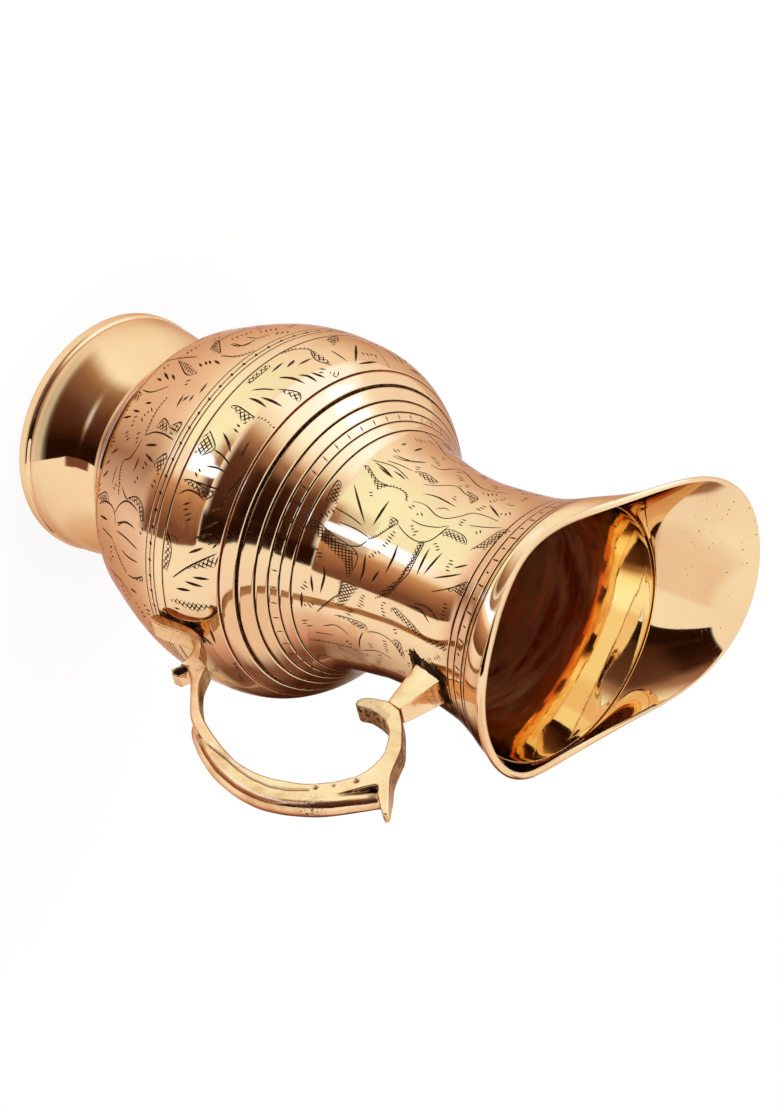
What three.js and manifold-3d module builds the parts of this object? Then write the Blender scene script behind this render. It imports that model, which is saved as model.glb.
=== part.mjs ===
// A brass water jug: a hollow pedestal foot, a round belly, stepped shoulder bands, a waisted neck
// and an oval mouth drawn out into a spout, with a cast handle brazed on behind.
// Millimetres, +Z up. The foot stands on z = 0, the spout points to +X and the handle to -X.
// The origin is under the middle of the jug's bounding box, so the turning axis lies a little off it.
import * as THREE from "three";
import { mergeVertices } from "three/addons/utils/BufferGeometryUtils.js";
import Module from "manifold-3d";

const wasm = await Module();
wasm.setup();

// Foot
const FOOT_RADIUS = 47.7;
const FOOT_HEIGHT = 37.4;
const FOOT_TOP_WIDTH = 0.9;
const FOOT_WALL = 2.4;
const FOOT_LIP_HEIGHT = 6.5;
const FOOT_LIP_STEP = 0.8;

// Belly and shoulder
const BODY_WALL = 1.9;
const BOWL_FLOOR_HEIGHT = 17.7;
const BELLY_RADIUS = 68.8;
const BELLY_HEIGHT = 102;
const SHOULDER_RADIUS = 62;
const SHOULDER_HEIGHT = 128.2;
const COLLAR_RADIUS = 45.6;
const COLLAR_HEIGHT = 147.6;

// Neck and mouth
const NECK_RADIUS = 39.4;
const NECK_HEIGHT = 182;
const THROAT_RADIUS = 43.9;
const THROAT_HEIGHT = 221.8;
const LIP_BASE_RADIUS = 49.1;
const LIP_BASE_HEIGHT = 233.7;
const LIP_WALL = 2.3;
const LIP_BACK_RADIUS = 54;
const LIP_BACK_HEIGHT = 244.2;
const LIP_SIDE_RADIUS = 48.8;
const LIP_SIDE_HEIGHT = 238.6;
const SPOUT_REACH = 77.8;
const SPOUT_HEIGHT = 256.7;

// Turned rings
const RING_WIDTH = 1.3;
const RING_DEPTH = 0.55;
const BELLY_RING_HEIGHTS = [99.8, 106.1];
const SHOULDER_RING_COUNT = 4;
const THROAT_RING_GAP = 4.6;

// Handle
const HANDLE_THICKNESS = 7.6;
const HANDLE_WEB_THICKNESS = 5;
const GRIP_OUTER_RADIUS = 114.2;
const BEAD_RADIUS = 3.8;
const BRACKET_ROOT_WIDTH = 11;
const BRACKET_ROOT_HEIGHT = 14;
const BRACKET_ROOT_DEPTH = 4;
const BRAZE_SPREAD = 2.4;
const BRAZE_THICKNESS = 1.4;
const SCROLL_BRAZE_LENGTH = 20;
const SCROLL_SEAT_DROP = 16.2;
const BRACKET_SEAT_DROP = 12.8;

// Clearance between pieces that touch, and fineness
const GAP = 0.3;
const SEGMENTS = 48;

const bodyBrass = new THREE.MeshStandardMaterial({ color: 0xd8a273, metalness: 1, roughness: 0.16 });
const castBrass = new THREE.MeshStandardMaterial({ color: 0xd9ab62, metalness: 1, roughness: 0.32 });
const brazeMetal = new THREE.MeshStandardMaterial({ color: 0x3a2620, metalness: 0.8, roughness: 0.6 });

const jug = new THREE.Group();
const axis = new THREE.Group();
jug.add(axis);

// A smooth line through [radius, height] points.
function smooth(points, steps) {
  const curve = new THREE.SplineCurve(points.map(([r, z]) => new THREE.Vector2(r, z)));
  return curve.getPoints(steps);
}

// The points of a line between two heights, with its ends cut exactly there.
function between(line, low, high) {
  const inside = line.filter((p) => p.y > low + 0.2 && p.y < high - 0.2);
  const start = new THREE.Vector2(radiusAt(line, low), low);
  const end = new THREE.Vector2(radiusAt(line, high), high);
  return [start, ...inside, end];
}

function radiusAt(line, height) {
  for (let i = 1; i < line.length; i += 1) {
    const a = line[i - 1];
    const b = line[i];
    if (height >= a.y && height <= b.y) {
      return a.x + ((b.x - a.x) * (height - a.y)) / (b.y - a.y);
    }
  }
  return height < line[0].y ? line[0].x : line[line.length - 1].x;
}

// Cuts V rings into a line at the given heights.
function withRings(line, heights) {
  const half = RING_WIDTH / 2;
  const kept = line.filter((p) => heights.every((h) => Math.abs(p.y - h) > half + 0.3));
  const cuts = heights.flatMap((h) => [
    new THREE.Vector2(radiusAt(line, h - half), h - half),
    new THREE.Vector2(radiusAt(line, h) - RING_DEPTH, h),
    new THREE.Vector2(radiusAt(line, h + half), h + half),
  ]);
  return [...kept, ...cuts].sort((a, b) => a.y - b.y);
}

// The same line moved sideways: to its left (towards the axis) where the distance is positive.
function moved(line, distance) {
  return line.map((p, i) => {
    const before = line[Math.max(i - 1, 0)];
    const after = line[Math.min(i + 1, line.length - 1)];
    const along = after.clone().sub(before).normalize();
    const x = p.x - along.y * distance;
    return new THREE.Vector2(Math.max(x, 0), p.y + along.x * distance);
  });
}

// Half the points of a line, with both its ends.
function everySecond(line) {
  return line.filter((p, i) => i % 2 === 0 || i === line.length - 1);
}

// Turns a closed outline about the vertical axis.
function turned(outline) {
  const geometry = new THREE.LatheGeometry([...outline, outline[0].clone()], SEGMENTS);
  geometry.rotateX(Math.PI / 2);
  return solid(geometry);
}

// A body filled to the axis, for cutting what seats on it.
function core(line, extra) {
  const skin = moved(line, -extra);
  const low = skin[0].y;
  const high = skin[skin.length - 1].y;
  return turned([new THREE.Vector2(0, low), ...skin, new THREE.Vector2(0, high)]);
}

// Joins neighbouring sections of equal length into a closed skin.
function lofted(sections, closed) {
  const count = sections[0].length;
  const rows = closed ? sections.length : sections.length - 1;
  const index = [];
  for (let i = 0; i < rows; i += 1) {
    const next = (i + 1) % sections.length;
    for (let j = 0; j < count; j += 1) {
      const k = (j + 1) % count;
      const a = i * count + j;
      const b = i * count + k;
      const c = next * count + k;
      const d = next * count + j;
      index.push(a, b, c, a, c, d);
    }
  }
  if (!closed) {
    const last = (sections.length - 1) * count;
    for (let j = 1; j < count - 1; j += 1) {
      index.push(0, j + 1, j, last, last + j, last + j + 1);
    }
  }
  const geometry = new THREE.BufferGeometry();
  const flat = sections.flat().flatMap((p) => [p.x, p.y, p.z]);
  geometry.setAttribute("position", new THREE.Float32BufferAttribute(flat, 3));
  geometry.setIndex(index);
  return solid(geometry);
}

function enclosedVolume(position, index) {
  const a = new THREE.Vector3();
  const b = new THREE.Vector3();
  const c = new THREE.Vector3();
  let sum = 0;
  for (let i = 0; i < index.length; i += 3) {
    a.fromBufferAttribute(position, index[i]);
    b.fromBufferAttribute(position, index[i + 1]);
    c.fromBufferAttribute(position, index[i + 2]);
    sum += a.dot(b.cross(c)) / 6;
  }
  return sum;
}

// A closed geometry as a solid with its faces turned outwards.
function solid(geometry) {
  geometry.deleteAttribute("normal");
  geometry.deleteAttribute("uv");
  const merged = mergeVertices(geometry, 1e-4);
  const position = merged.attributes.position;
  let triVerts = Uint32Array.from(merged.index.array);
  const whole = [];
  for (let i = 0; i < triVerts.length; i += 3) {
    const [a, b, c] = triVerts.slice(i, i + 3);
    if (a !== b && b !== c && a !== c) whole.push(a, b, c);
  }
  triVerts = Uint32Array.from(whole);
  if (enclosedVolume(position, triVerts) < 0) triVerts.reverse();
  const vertProperties = Float32Array.from(position.array);
  return new wasm.Manifold(new wasm.Mesh({ numProp: 3, vertProperties, triVerts }));
}

// The solid swollen by the clearance, as the union of slightly shifted copies.
function grown(shape, gap) {
  const shifts = [[1, 0, 0], [-1, 0, 0], [0, 1, 0], [0, -1, 0], [0, 0, 1], [0, 0, -1]];
  return shifts.reduce((sum, s) => sum.add(shape.translate(s.map((v) => v * gap))), shape);
}

function place(name, shape, material) {
  const mesh = shape.getMesh();
  const geometry = new THREE.BufferGeometry();
  const flat = new Float32Array((mesh.vertProperties.length / mesh.numProp) * 3);
  for (let i = 0; i < flat.length / 3; i += 1) {
    flat.set(mesh.vertProperties.subarray(i * mesh.numProp, i * mesh.numProp + 3), i * 3);
  }
  geometry.setAttribute("position", new THREE.BufferAttribute(flat, 3));
  geometry.setIndex(new THREE.BufferAttribute(Uint32Array.from(mesh.triVerts), 1));
  geometry.computeVertexNormals();
  const piece = new THREE.Mesh(geometry, material);
  piece.name = name;
  axis.add(piece);
  return piece;
}

// The belly line from the bottom of the bowl to the shoulder ring.
const bowlRise = BELLY_HEIGHT - BOWL_FLOOR_HEIGHT;
const bellyFall = SHOULDER_HEIGHT - BELLY_HEIGHT;
const shoulderStep = BELLY_RADIUS - SHOULDER_RADIUS;
const bellyShape = [
  [0, 0], [0.2, 0.018], [0.345, 0.067], [0.44, 0.125], [0.55, 0.205], [0.643, 0.29],
  [0.74, 0.371], [0.823, 0.457], [0.908, 0.623], [0.972, 0.789], [0.997, 0.93],
];
const bellyLine = smooth([
  ...bellyShape.map(([out, up]) => [BELLY_RADIUS * out, BOWL_FLOOR_HEIGHT + bowlRise * up]),
  [BELLY_RADIUS, BELLY_HEIGHT],
  [BELLY_RADIUS - shoulderStep * 0.16, BELLY_HEIGHT + bellyFall * 0.43],
  [BELLY_RADIUS - shoulderStep * 0.5, BELLY_HEIGHT + bellyFall * 0.75],
  [SHOULDER_RADIUS, SHOULDER_HEIGHT],
], 20);

// The pedestal foot: a rolled lip, a small step and a wall that draws in to the belly it carries.
const footInset = FOOT_RADIUS - FOOT_LIP_STEP;
const footRise = FOOT_HEIGHT - FOOT_LIP_HEIGHT;
const footTopRadius = radiusAt(bellyLine, FOOT_HEIGHT) + FOOT_TOP_WIDTH;
const footDraw = footInset - footTopRadius;
const footLine = [
  new THREE.Vector2(footInset, 0),
  new THREE.Vector2(FOOT_RADIUS, FOOT_LIP_HEIGHT * 0.35),
  new THREE.Vector2(FOOT_RADIUS, FOOT_LIP_HEIGHT * 0.8),
  new THREE.Vector2(footInset, FOOT_LIP_HEIGHT),
  ...smooth([
    [footInset - footDraw * 0.08, FOOT_LIP_HEIGHT + footRise * 0.15],
    [footInset - footDraw * 0.38, FOOT_LIP_HEIGHT + footRise * 0.4],
    [footInset - footDraw * 0.72, FOOT_LIP_HEIGHT + footRise * 0.64],
    [footInset - footDraw * 0.95, FOOT_LIP_HEIGHT + footRise * 0.85],
    [footTopRadius, FOOT_HEIGHT],
  ], 6),
];

// Stepped bands between the shoulder ring and the collar ring, each a straight cone.
const bandRise = COLLAR_HEIGHT - SHOULDER_HEIGHT;
const bandFall = SHOULDER_RADIUS - COLLAR_RADIUS;
const bandSteps = [[0.25, 0.24], [0.51, 0.474], [0.71, 0.655], [0.855, 0.814]];
const bandLine = [
  new THREE.Vector2(SHOULDER_RADIUS, SHOULDER_HEIGHT),
  ...bandSteps.slice(0, SHOULDER_RING_COUNT).map(([inward, up]) =>
    new THREE.Vector2(SHOULDER_RADIUS - bandFall * inward, SHOULDER_HEIGHT + bandRise * up)),
  new THREE.Vector2(COLLAR_RADIUS, COLLAR_HEIGHT),
];

// The neck line from the collar ring to the foot of the lip.
const neckFall = NECK_HEIGHT - COLLAR_HEIGHT;
const neckDraw = COLLAR_RADIUS - NECK_RADIUS;
const throatRise = THROAT_HEIGHT - NECK_HEIGHT;
const throatSpread = THROAT_RADIUS - NECK_RADIUS;
const neckLine = smooth([
  [COLLAR_RADIUS, COLLAR_HEIGHT],
  [COLLAR_RADIUS - neckDraw * 0.4, COLLAR_HEIGHT + neckFall * 0.17],
  [COLLAR_RADIUS - neckDraw * 0.75, COLLAR_HEIGHT + neckFall * 0.42],
  [NECK_RADIUS, NECK_HEIGHT],
  [NECK_RADIUS + throatSpread * 0.24, NECK_HEIGHT + throatRise * 0.42],
  [NECK_RADIUS + throatSpread * 0.58, NECK_HEIGHT + throatRise * 0.74],
  [THROAT_RADIUS, THROAT_HEIGHT],
  [LIP_BASE_RADIUS, LIP_BASE_HEIGHT],
], 13);

const bodyLine = [...bellyLine, ...bandLine.slice(1), ...neckLine.slice(1)];
const throatRings = [0, 1, 2].map((i) => THROAT_HEIGHT + THROAT_RING_GAP * i);
const shoulderRings = [...bandLine.slice(1).map((p) => p.y), ...throatRings];

// A turned wall between two heights of the body line.
function shellBetween(low, high, rings) {
  const plain = between(bodyLine, low, high);
  const outside = withRings(plain, rings);
  const inside = everySecond(moved(plain, BODY_WALL));
  inside[inside.length - 1].y = high;
  if (low > BOWL_FLOOR_HEIGHT) inside[0].y = low;
  return turned([...outside, ...inside.reverse()]);
}

const footTop = FOOT_HEIGHT - GAP;
const footOutside = footLine.filter((p) => p.y < footTop - 0.2);
footOutside.push(new THREE.Vector2(radiusAt(footLine, footTop), footTop));
const footInside = moved(footOutside, FOOT_WALL);
footInside[0].set(footInset - FOOT_WALL, 0);
footInside[footInside.length - 1].y = footTop;
const footShell = turned([...footOutside, ...footInside.reverse()]);
const foot = footShell.subtract(core(bellyLine, GAP));
const lowerBody = shellBetween(BOWL_FLOOR_HEIGHT, SHOULDER_HEIGHT - GAP / 2, BELLY_RING_HEIGHTS);
const upperBody = shellBetween(SHOULDER_HEIGHT + GAP / 2, LIP_BASE_HEIGHT - GAP / 2, shoulderRings);

place("foot", foot, bodyBrass);
place("lower_body", lowerBody, bodyBrass);
place("upper_body", upperBody, bodyBrass);

// The rim's radius and height at an angle from the spout, 0 at the spout and PI at the handle.
function rimAt(angle) {
  const front = Math.max(Math.cos(angle), 0);
  const back = Math.max(-Math.cos(angle), 0);
  const reach = (SPOUT_REACH - LIP_SIDE_RADIUS) * front ** 2.1;
  const spread = (LIP_BACK_RADIUS - LIP_SIDE_RADIUS) * back ** 2.8;
  const rise = (SPOUT_HEIGHT - LIP_SIDE_HEIGHT) * (front + 0.55 * front ** 2 * (1 - front));
  const lift = (LIP_BACK_HEIGHT - LIP_SIDE_HEIGHT) * THREE.MathUtils.smoothstep(back, 0.2, 1);
  return new THREE.Vector2(LIP_SIDE_RADIUS + reach + spread, LIP_SIDE_HEIGHT + rise + lift);
}

// One upright section of the lip: a wall that leaves the neck at its slope and flares to the rim.
function lipSection(angle, steps) {
  const base = new THREE.Vector2(radiusAt(bodyLine, LIP_BASE_HEIGHT), LIP_BASE_HEIGHT + GAP / 2);
  const lower = LIP_BASE_HEIGHT - RING_WIDTH * 3;
  const below = new THREE.Vector2(radiusAt(bodyLine, lower), lower);
  const rim = rimAt(angle);
  const chord = rim.clone().sub(base);
  const start = base.clone().sub(below).normalize().multiplyScalar(chord.length() / 3);
  const lean = Math.atan2(chord.x, chord.y);
  const endLean = Math.max(lean + 0.28 * Math.max(lean, 0), 0.05);
  const end = new THREE.Vector2(Math.sin(endLean), Math.cos(endLean)).multiplyScalar(chord.length() / 3);
  const curve = new THREE.CubicBezierCurve(base, base.clone().add(start), rim.clone().sub(end), rim);
  const outside = curve.getPoints(steps);
  const inside = moved(outside, LIP_WALL);
  inside[0].y = outside[0].y;
  const ring = [...outside, ...inside.reverse()];
  return ring.map((p) => new THREE.Vector3(p.x * Math.cos(angle), p.x * Math.sin(angle), p.y));
}

const lipAngles = Array.from({ length: SEGMENTS }, (_, i) => (i * 2 * Math.PI) / SEGMENTS);
const mouth = lofted(lipAngles.map((angle) => lipSection(angle, 5)), true);
place("mouth", mouth, bodyBrass);

// Handle, drawn in its own plane as [distance from the axis, height]. The drawing was measured
// on a body with the two seats below, and is carried over to wherever the seats and the grip's
// reach now are.
const DRAWN_SCROLL_SEAT = new THREE.Vector2(67.3, 112);
const DRAWN_BRACKET_SEAT = new THREE.Vector2(41.7, 209);
const hookBack = [[58.8, 206.8], [60.3, 204.4], [61.3, 201.6], [62.6, 199.5], [64.2, 198.9], [65.9, 200.8]];
const gripInside = [
  [65.9, 200.8], [66, 205.2], [66.8, 210.6], [68.2, 214.8], [69.7, 217.8], [72.3, 220], [75.1, 221.8],
  [78.1, 223.2], [81.5, 224.1], [86.1, 224.3], [90.4, 223.3], [94.6, 220.6], [98.1, 217.4], [103.1, 210.5],
  [105.7, 203.6], [107.8, 196.2], [108.4, 188], [107.4, 179.7], [103.8, 168], [99.4, 157.4], [95.2, 151],
  [90, 145], [85.3, 141.1], [79.4, 138],
];
const scrollBack = [
  [78.3, 133.6], [74.8, 130.6], [72.5, 128.6], [70.3, 125.9], [68.6, 122.6], [67.6, 119.3], [66.9, 113.3],
  [67.6, 107.1], [68.6, 102.4], [70.6, 100.7], [73, 100.6], [74.2, 103],
];
const scrollFront = [
  [74.2, 103], [73.7, 108], [72.9, 112.5], [72.2, 116.4], [71.5, 120.3], [71.8, 123.7], [73.3, 126],
  [76.3, 128.1], [79.5, 128.8], [84.1, 129],
];
const gripOutside = [
  [84.4, 132.6], [86.2, 136.6], [91.7, 142.2], [97.1, 147.7], [100.8, 151.9], [103.6, 156.4], [105.9, 162],
  [109.4, 170.9], [112, 178.5], [113.6, 186.5], [114.2, 193], [113.2, 201.6], [111.1, 209], [107.1, 217.3],
];
const recessEdge = [[107.1, 217.3], [102.8, 221.6], [99.1, 225], [96.3, 227.1], [93.5, 229.2], [90.6, 231.8]];
const spurFront = [[90.7, 232.9], [93.6, 236.1], [96.8, 239.6], [99.5, 243.8], [99.8, 245.5]];
const armOutside = [
  [96.6, 242.6], [92.6, 239.2], [88.4, 235.7], [84.8, 232.8], [81.2, 230.8], [77.3, 229], [73.5, 227],
  [68.8, 223], [64.2, 218.5], [60.3, 213.8],
];
const beadLine = [
  [103.4, 158], [105.9, 163.4], [109.2, 170.9], [111.9, 178.5], [113.4, 186.5], [114, 193], [113.3, 201.6],
  [111, 209], [107.4, 216.4], [103.2, 222], [98, 227.4], [92.6, 232.2],
];

const webInside = [[104, 208], [99, 218], [90, 226], [86, 230]];
const webOutside = [[91.6, 232.4], [98, 227.2], [103.2, 222], [107.4, 216.4], [110, 209]];

const scrollSeatHeight = SHOULDER_HEIGHT - SCROLL_SEAT_DROP;
const bracketSeatHeight = THROAT_HEIGHT - BRACKET_SEAT_DROP;
const scrollSeat = new THREE.Vector2(radiusAt(bodyLine, scrollSeatHeight), scrollSeatHeight);
const bracketSeat = new THREE.Vector2(radiusAt(bodyLine, bracketSeatHeight), bracketSeatHeight);

// The widest point of the grip sets how far the drawing is stretched sideways.
const gripPeak = gripOutside.reduce((best, p) => (p[0] > best[0] ? p : best));

function seatShare(up) {
  return (up - DRAWN_SCROLL_SEAT.y) / (DRAWN_BRACKET_SEAT.y - DRAWN_SCROLL_SEAT.y);
}

function onLine(low, high, share) {
  return low.clone().lerp(high, share);
}

const peakShare = seatShare(gripPeak[1]);
const reachScale = (GRIP_OUTER_RADIUS - onLine(scrollSeat, bracketSeat, peakShare).x)
  / (gripPeak[0] - onLine(DRAWN_SCROLL_SEAT, DRAWN_BRACKET_SEAT, peakShare).x);

function seated([out, up]) {
  const share = seatShare(up);
  const drawn = onLine(DRAWN_SCROLL_SEAT, DRAWN_BRACKET_SEAT, share);
  const real = onLine(scrollSeat, bracketSeat, share);
  return [real.x + (out - drawn.x) * reachScale, real.y];
}

// A plate of the handle's plane, standing across Y, from runs of smooth edge.
function plate(runs, thickness) {
  const edge = runs.flatMap((run) => smooth(run, Math.max(2, Math.round(run.length * 1.3))));
  const distinct = edge.filter((p, i) => i === 0 || p.distanceTo(edge[i - 1]) > 0.02);
  const geometry = new THREE.ExtrudeGeometry(new THREE.Shape(distinct), {
    depth: thickness,
    bevelEnabled: false,
  });
  geometry.translate(0, 0, -thickness / 2);
  geometry.rotateX(Math.PI / 2);
  geometry.rotateZ(Math.PI);
  return solid(geometry);
}

// The round bead along the outside of the grip.
function beadTube() {
  const points = smooth(beadLine.map(seated), 26);
  const sections = points.map((p, i) => {
    const before = points[Math.max(i - 1, 0)];
    const after = points[Math.min(i + 1, points.length - 1)];
    const along = after.clone().sub(before).normalize();
    const radius = BEAD_RADIUS * Math.min(1, 0.25 + i / 8);
    return Array.from({ length: 12 }, (_, k) => {
      const turn = (k * 2 * Math.PI) / 12;
      const side = radius * Math.cos(turn);
      const out = p.x + along.y * side;
      return new THREE.Vector3(-out, radius * Math.sin(turn), p.y - along.x * side);
    });
  });
  return lofted(sections, false);
}

const bead = beadTube();
const seatCore = core(bodyLine, GAP);
const outline = [
  hookBack, gripInside, scrollBack, scrollFront, gripOutside, recessEdge, spurFront, armOutside,
];
const mainPlate = plate(outline.map((run) => run.map(seated)), HANDLE_THICKNESS);
const webPlate = plate([webInside.map(seated), webOutside.map(seated)], HANDLE_WEB_THICKNESS);
const handle = mainPlate.add(webPlate).add(bead).subtract(seatCore);
place("handle", handle, castBrass);

// The square bracket that spreads from the handle's arm to the neck.
function squareSection(centre, halfHeight, halfWidth, lean) {
  const corners = [[-1, -1], [1, -1], [1, 1], [-1, 1]];
  return corners.map(([up, side]) =>
    new THREE.Vector3(-(centre.x + up * halfHeight * lean), side * halfWidth, centre.y + up * halfHeight));
}

function bracketShape(extra) {
  const [outLow, upLow] = seated(hookBack[0]);
  const [outHigh, upHigh] = seated(armOutside[armOutside.length - 1]);
  const narrow = new THREE.Vector2((outLow + outHigh) / 2, (upLow + upHigh) / 2);
  const root = new THREE.Vector2(bracketSeat.x - BRACKET_ROOT_DEPTH, bracketSeat.y);
  const narrowHalf = (upHigh - upLow) / 2 + extra;
  const narrowLean = (outHigh - outLow) / (upHigh - upLow);
  return lofted([
    squareSection(root, BRACKET_ROOT_HEIGHT / 2 + extra, BRACKET_ROOT_WIDTH / 2 + extra, 0.3),
    squareSection(narrow, narrowHalf, HANDLE_THICKNESS / 2 - 0.2 + extra, narrowLean),
  ], false);
}

const bracket = bracketShape(0).subtract(seatCore).subtract(grown(handle, GAP));
place("handle_bracket", bracket, castBrass);

// Dark braze that ran out round the bracket's root and round the lower scroll.
const brazeLimit = core(bodyLine, GAP + BRAZE_THICKNESS);
const bracketBraze = bracketShape(BRAZE_SPREAD)
  .intersect(brazeLimit)
  .subtract(seatCore)
  .subtract(bracketShape(GAP));
place("bracket_braze", bracketBraze, brazeMetal);

const bedTop = scrollSeat.y + SCROLL_BRAZE_LENGTH * 0.4;
const bedBottom = bedTop - SCROLL_BRAZE_LENGTH;
const bedDepth = BRAZE_THICKNESS * 5;
const scrollBed = plate([
  [[scrollSeat.x + bedDepth, bedTop], [scrollSeat.x - bedDepth, bedTop]],
  [[scrollSeat.x - bedDepth, bedBottom], [scrollSeat.x + bedDepth, bedBottom]],
], HANDLE_THICKNESS + 2 * BRAZE_SPREAD);
const scrollBraze = scrollBed
  .intersect(brazeLimit)
  .subtract(seatCore)
  .subtract(grown(handle, GAP));
place("scroll_braze", scrollBraze, brazeMetal);

// Moves the turning axis so that the origin is under the middle of the bounding box.
const box = new THREE.Box3().setFromObject(axis);
axis.position.x = -(box.min.x + box.max.x) / 2;

export default jug;
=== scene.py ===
# %% [markdown]
# # An engraved brass water jug
#
# The jug is turned and hand engraved brass: a hollow foot, a round belly, stepped bands, a waisted
# neck and a wide oval mouth drawn out into a spout. A cast handle is brazed on behind.
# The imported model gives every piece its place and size. This script only dresses it, so it starts
# by loading that model as a frame that nothing here may move.

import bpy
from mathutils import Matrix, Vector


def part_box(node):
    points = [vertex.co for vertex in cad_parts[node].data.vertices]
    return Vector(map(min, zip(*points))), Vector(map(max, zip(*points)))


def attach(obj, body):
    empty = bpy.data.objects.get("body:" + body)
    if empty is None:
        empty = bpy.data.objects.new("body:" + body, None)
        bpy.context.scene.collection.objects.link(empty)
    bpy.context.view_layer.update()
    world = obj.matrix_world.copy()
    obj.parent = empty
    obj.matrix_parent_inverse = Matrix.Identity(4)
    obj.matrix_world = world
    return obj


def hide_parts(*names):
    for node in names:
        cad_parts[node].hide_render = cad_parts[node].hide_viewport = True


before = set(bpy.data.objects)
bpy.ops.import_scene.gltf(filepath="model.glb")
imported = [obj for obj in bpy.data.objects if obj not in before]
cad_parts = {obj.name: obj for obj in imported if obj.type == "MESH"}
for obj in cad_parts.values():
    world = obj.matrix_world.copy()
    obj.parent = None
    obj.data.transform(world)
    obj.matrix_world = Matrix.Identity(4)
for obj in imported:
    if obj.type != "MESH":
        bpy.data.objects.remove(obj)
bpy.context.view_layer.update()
print("nodes:", sorted(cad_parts))

# %% [markdown]
# ## Units and the turning axis
#
# The measurements of the jug are easier to read in millimetres, and Blender works in metres here.
# Every turned piece shares one upright axis. It isn't at the origin, because the handle reaches
# further out than the spout, so it is taken from the middle of the foot.

# %% Units and axis
import math
import random

import bmesh
import bpy
import numpy as np
from mathutils import Matrix, Vector, noise
from mathutils.geometry import delaunay_2d_cdt
from mathutils.kdtree import KDTree

MM = 0.001
foot_low, foot_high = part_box("foot")
AXIS_X = (foot_low.x + foot_high.x) / 2 / MM
COLUMNS = 144
print("turning axis at x = %.2f mm, %d columns round it" % (AXIS_X, COLUMNS))

# %% [markdown]
# ## The camera
#
# The photograph looks down into the mouth from the side, with the jug lying across the picture.
# The jug could be laid down to match, but then its own frame would be lost. The camera is turned
# instead: its place and its two picture directions were measured from the ellipses of the turned rings.

# %% Camera
camera_right = Vector((0.673935, -0.200049, 0.711190))
camera_down = Vector((-0.565346, -0.759351, 0.322135))
camera_back = camera_right.cross(-camera_down).normalized()
camera_place = Vector((-489.65, 664.23, 820.87)) * MM
turn = Matrix((camera_right, -camera_down, camera_back)).transposed().to_4x4()
lens = bpy.data.cameras.new("picture_camera")
lens.sensor_fit = "VERTICAL"
lens.sensor_height = 36
lens.lens = 97.47
lens.clip_start = 0.01
camera = bpy.data.objects.new("picture_camera", lens)
camera.matrix_world = Matrix.Translation(camera_place) @ turn
bpy.context.scene.collection.objects.link(camera)
bpy.context.scene.camera = camera
print("camera %.0f mm from the jug" % (camera_place.length / MM))

# %% [markdown]
# ## Small helpers for materials
#
# Every finish below is a few nodes: a colour that drifts a little, a roughness with wear in it, and
# a bump for the fine surface. These helpers keep each recipe down to a few readable lines.
# All patterns read Object coordinates, which are metres here, so a scale of 1000 is one cell per millimetre.

# %% Nodes and links
def new_finish(name):
    finish = bpy.data.materials.new(name)
    finish.use_nodes = True
    finish.node_tree.nodes.clear()
    return finish, finish.node_tree


def add_node(tree, kind, **settings):
    node = tree.nodes.new(kind)
    for key, value in settings.items():
        if key in node.inputs:
            node.inputs[key].default_value = value
        else:
            setattr(node, key, value)
    return node


def wire(tree, value, socket):
    """Links another node's output to a socket, or puts a plain value on it."""
    if hasattr(value, "is_linked"):
        tree.links.new(value, socket)
    elif value is not None:
        socket.default_value = value


print("node helpers ready")

# %% Numbers and places
def maths(tree, operation, *values):
    node = add_node(tree, "ShaderNodeMath", operation=operation)
    for value, socket in zip(values, node.inputs):
        wire(tree, value, socket)
    return node.outputs[0]


def product(tree, first, *others):
    for other in others:
        first = maths(tree, "MULTIPLY", first, other)
    return first


def stretched(tree, value, start, end, low=0.0, high=1.0, kind="LINEAR"):
    """Turns the span from start to end into the span from low to high, and holds it past both ends."""
    node = add_node(tree, "ShaderNodeMapRange", interpolation_type=kind)
    wire(tree, value, node.inputs["Value"])
    for key, number in (("From Min", start), ("From Max", end), ("To Min", low), ("To Max", high)):
        node.inputs[key].default_value = number
    return node.outputs["Result"]


def object_place(tree):
    return add_node(tree, "ShaderNodeTexCoord").outputs["Object"]


def one_axis(tree, vector, axis):
    parts = add_node(tree, "ShaderNodeSeparateXYZ")
    tree.links.new(vector, parts.inputs[0])
    return parts.outputs[axis]


def grain(tree, scale, detail=4.0, stretch=(1, 1, 1), rough=0.55):
    """Noise of about 1/scale metres, stretched along an axis."""
    turned = add_node(tree, "ShaderNodeMapping")
    turned.inputs["Scale"].default_value = stretch
    cloud = add_node(tree, "ShaderNodeTexNoise", Scale=scale, Detail=detail, Roughness=rough)
    tree.links.new(object_place(tree), turned.inputs["Vector"])
    tree.links.new(turned.outputs["Vector"], cloud.inputs["Vector"])
    return cloud.outputs["Fac"]


print("number helpers ready")

# %% Colours, bumps and the metal shader
EDGE_TINT = (0.72, 0.53, 0.43)


def ramp(tree, source, stops):
    """Turns a 0..1 value into a colour through (place, colour) stops."""
    node = add_node(tree, "ShaderNodeValToRGB")
    while len(node.color_ramp.elements) < len(stops):
        node.color_ramp.elements.new(0.5)
    for element, (place, colour) in zip(node.color_ramp.elements, stops):
        element.position = place
        element.color = (*colour, 1)
    tree.links.new(source, node.inputs["Fac"])
    return node.outputs["Color"]


def grey_ramp(tree, source, low, high, start=0.35, end=0.65):
    return ramp(tree, source, [(start, (low,) * 3), (end, (high,) * 3)])


def blend(tree, amount, first, second, kind="MIX"):
    """Mixes two colours; the amount and both colours may be linked or plain."""
    node = add_node(tree, "ShaderNodeMix", data_type="RGBA", blend_type=kind)
    for value, socket in ((amount, node.inputs["Factor"]), (first, node.inputs[6]), (second, node.inputs[7])):
        wire(tree, value, socket)
    return node.outputs[2]


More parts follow.
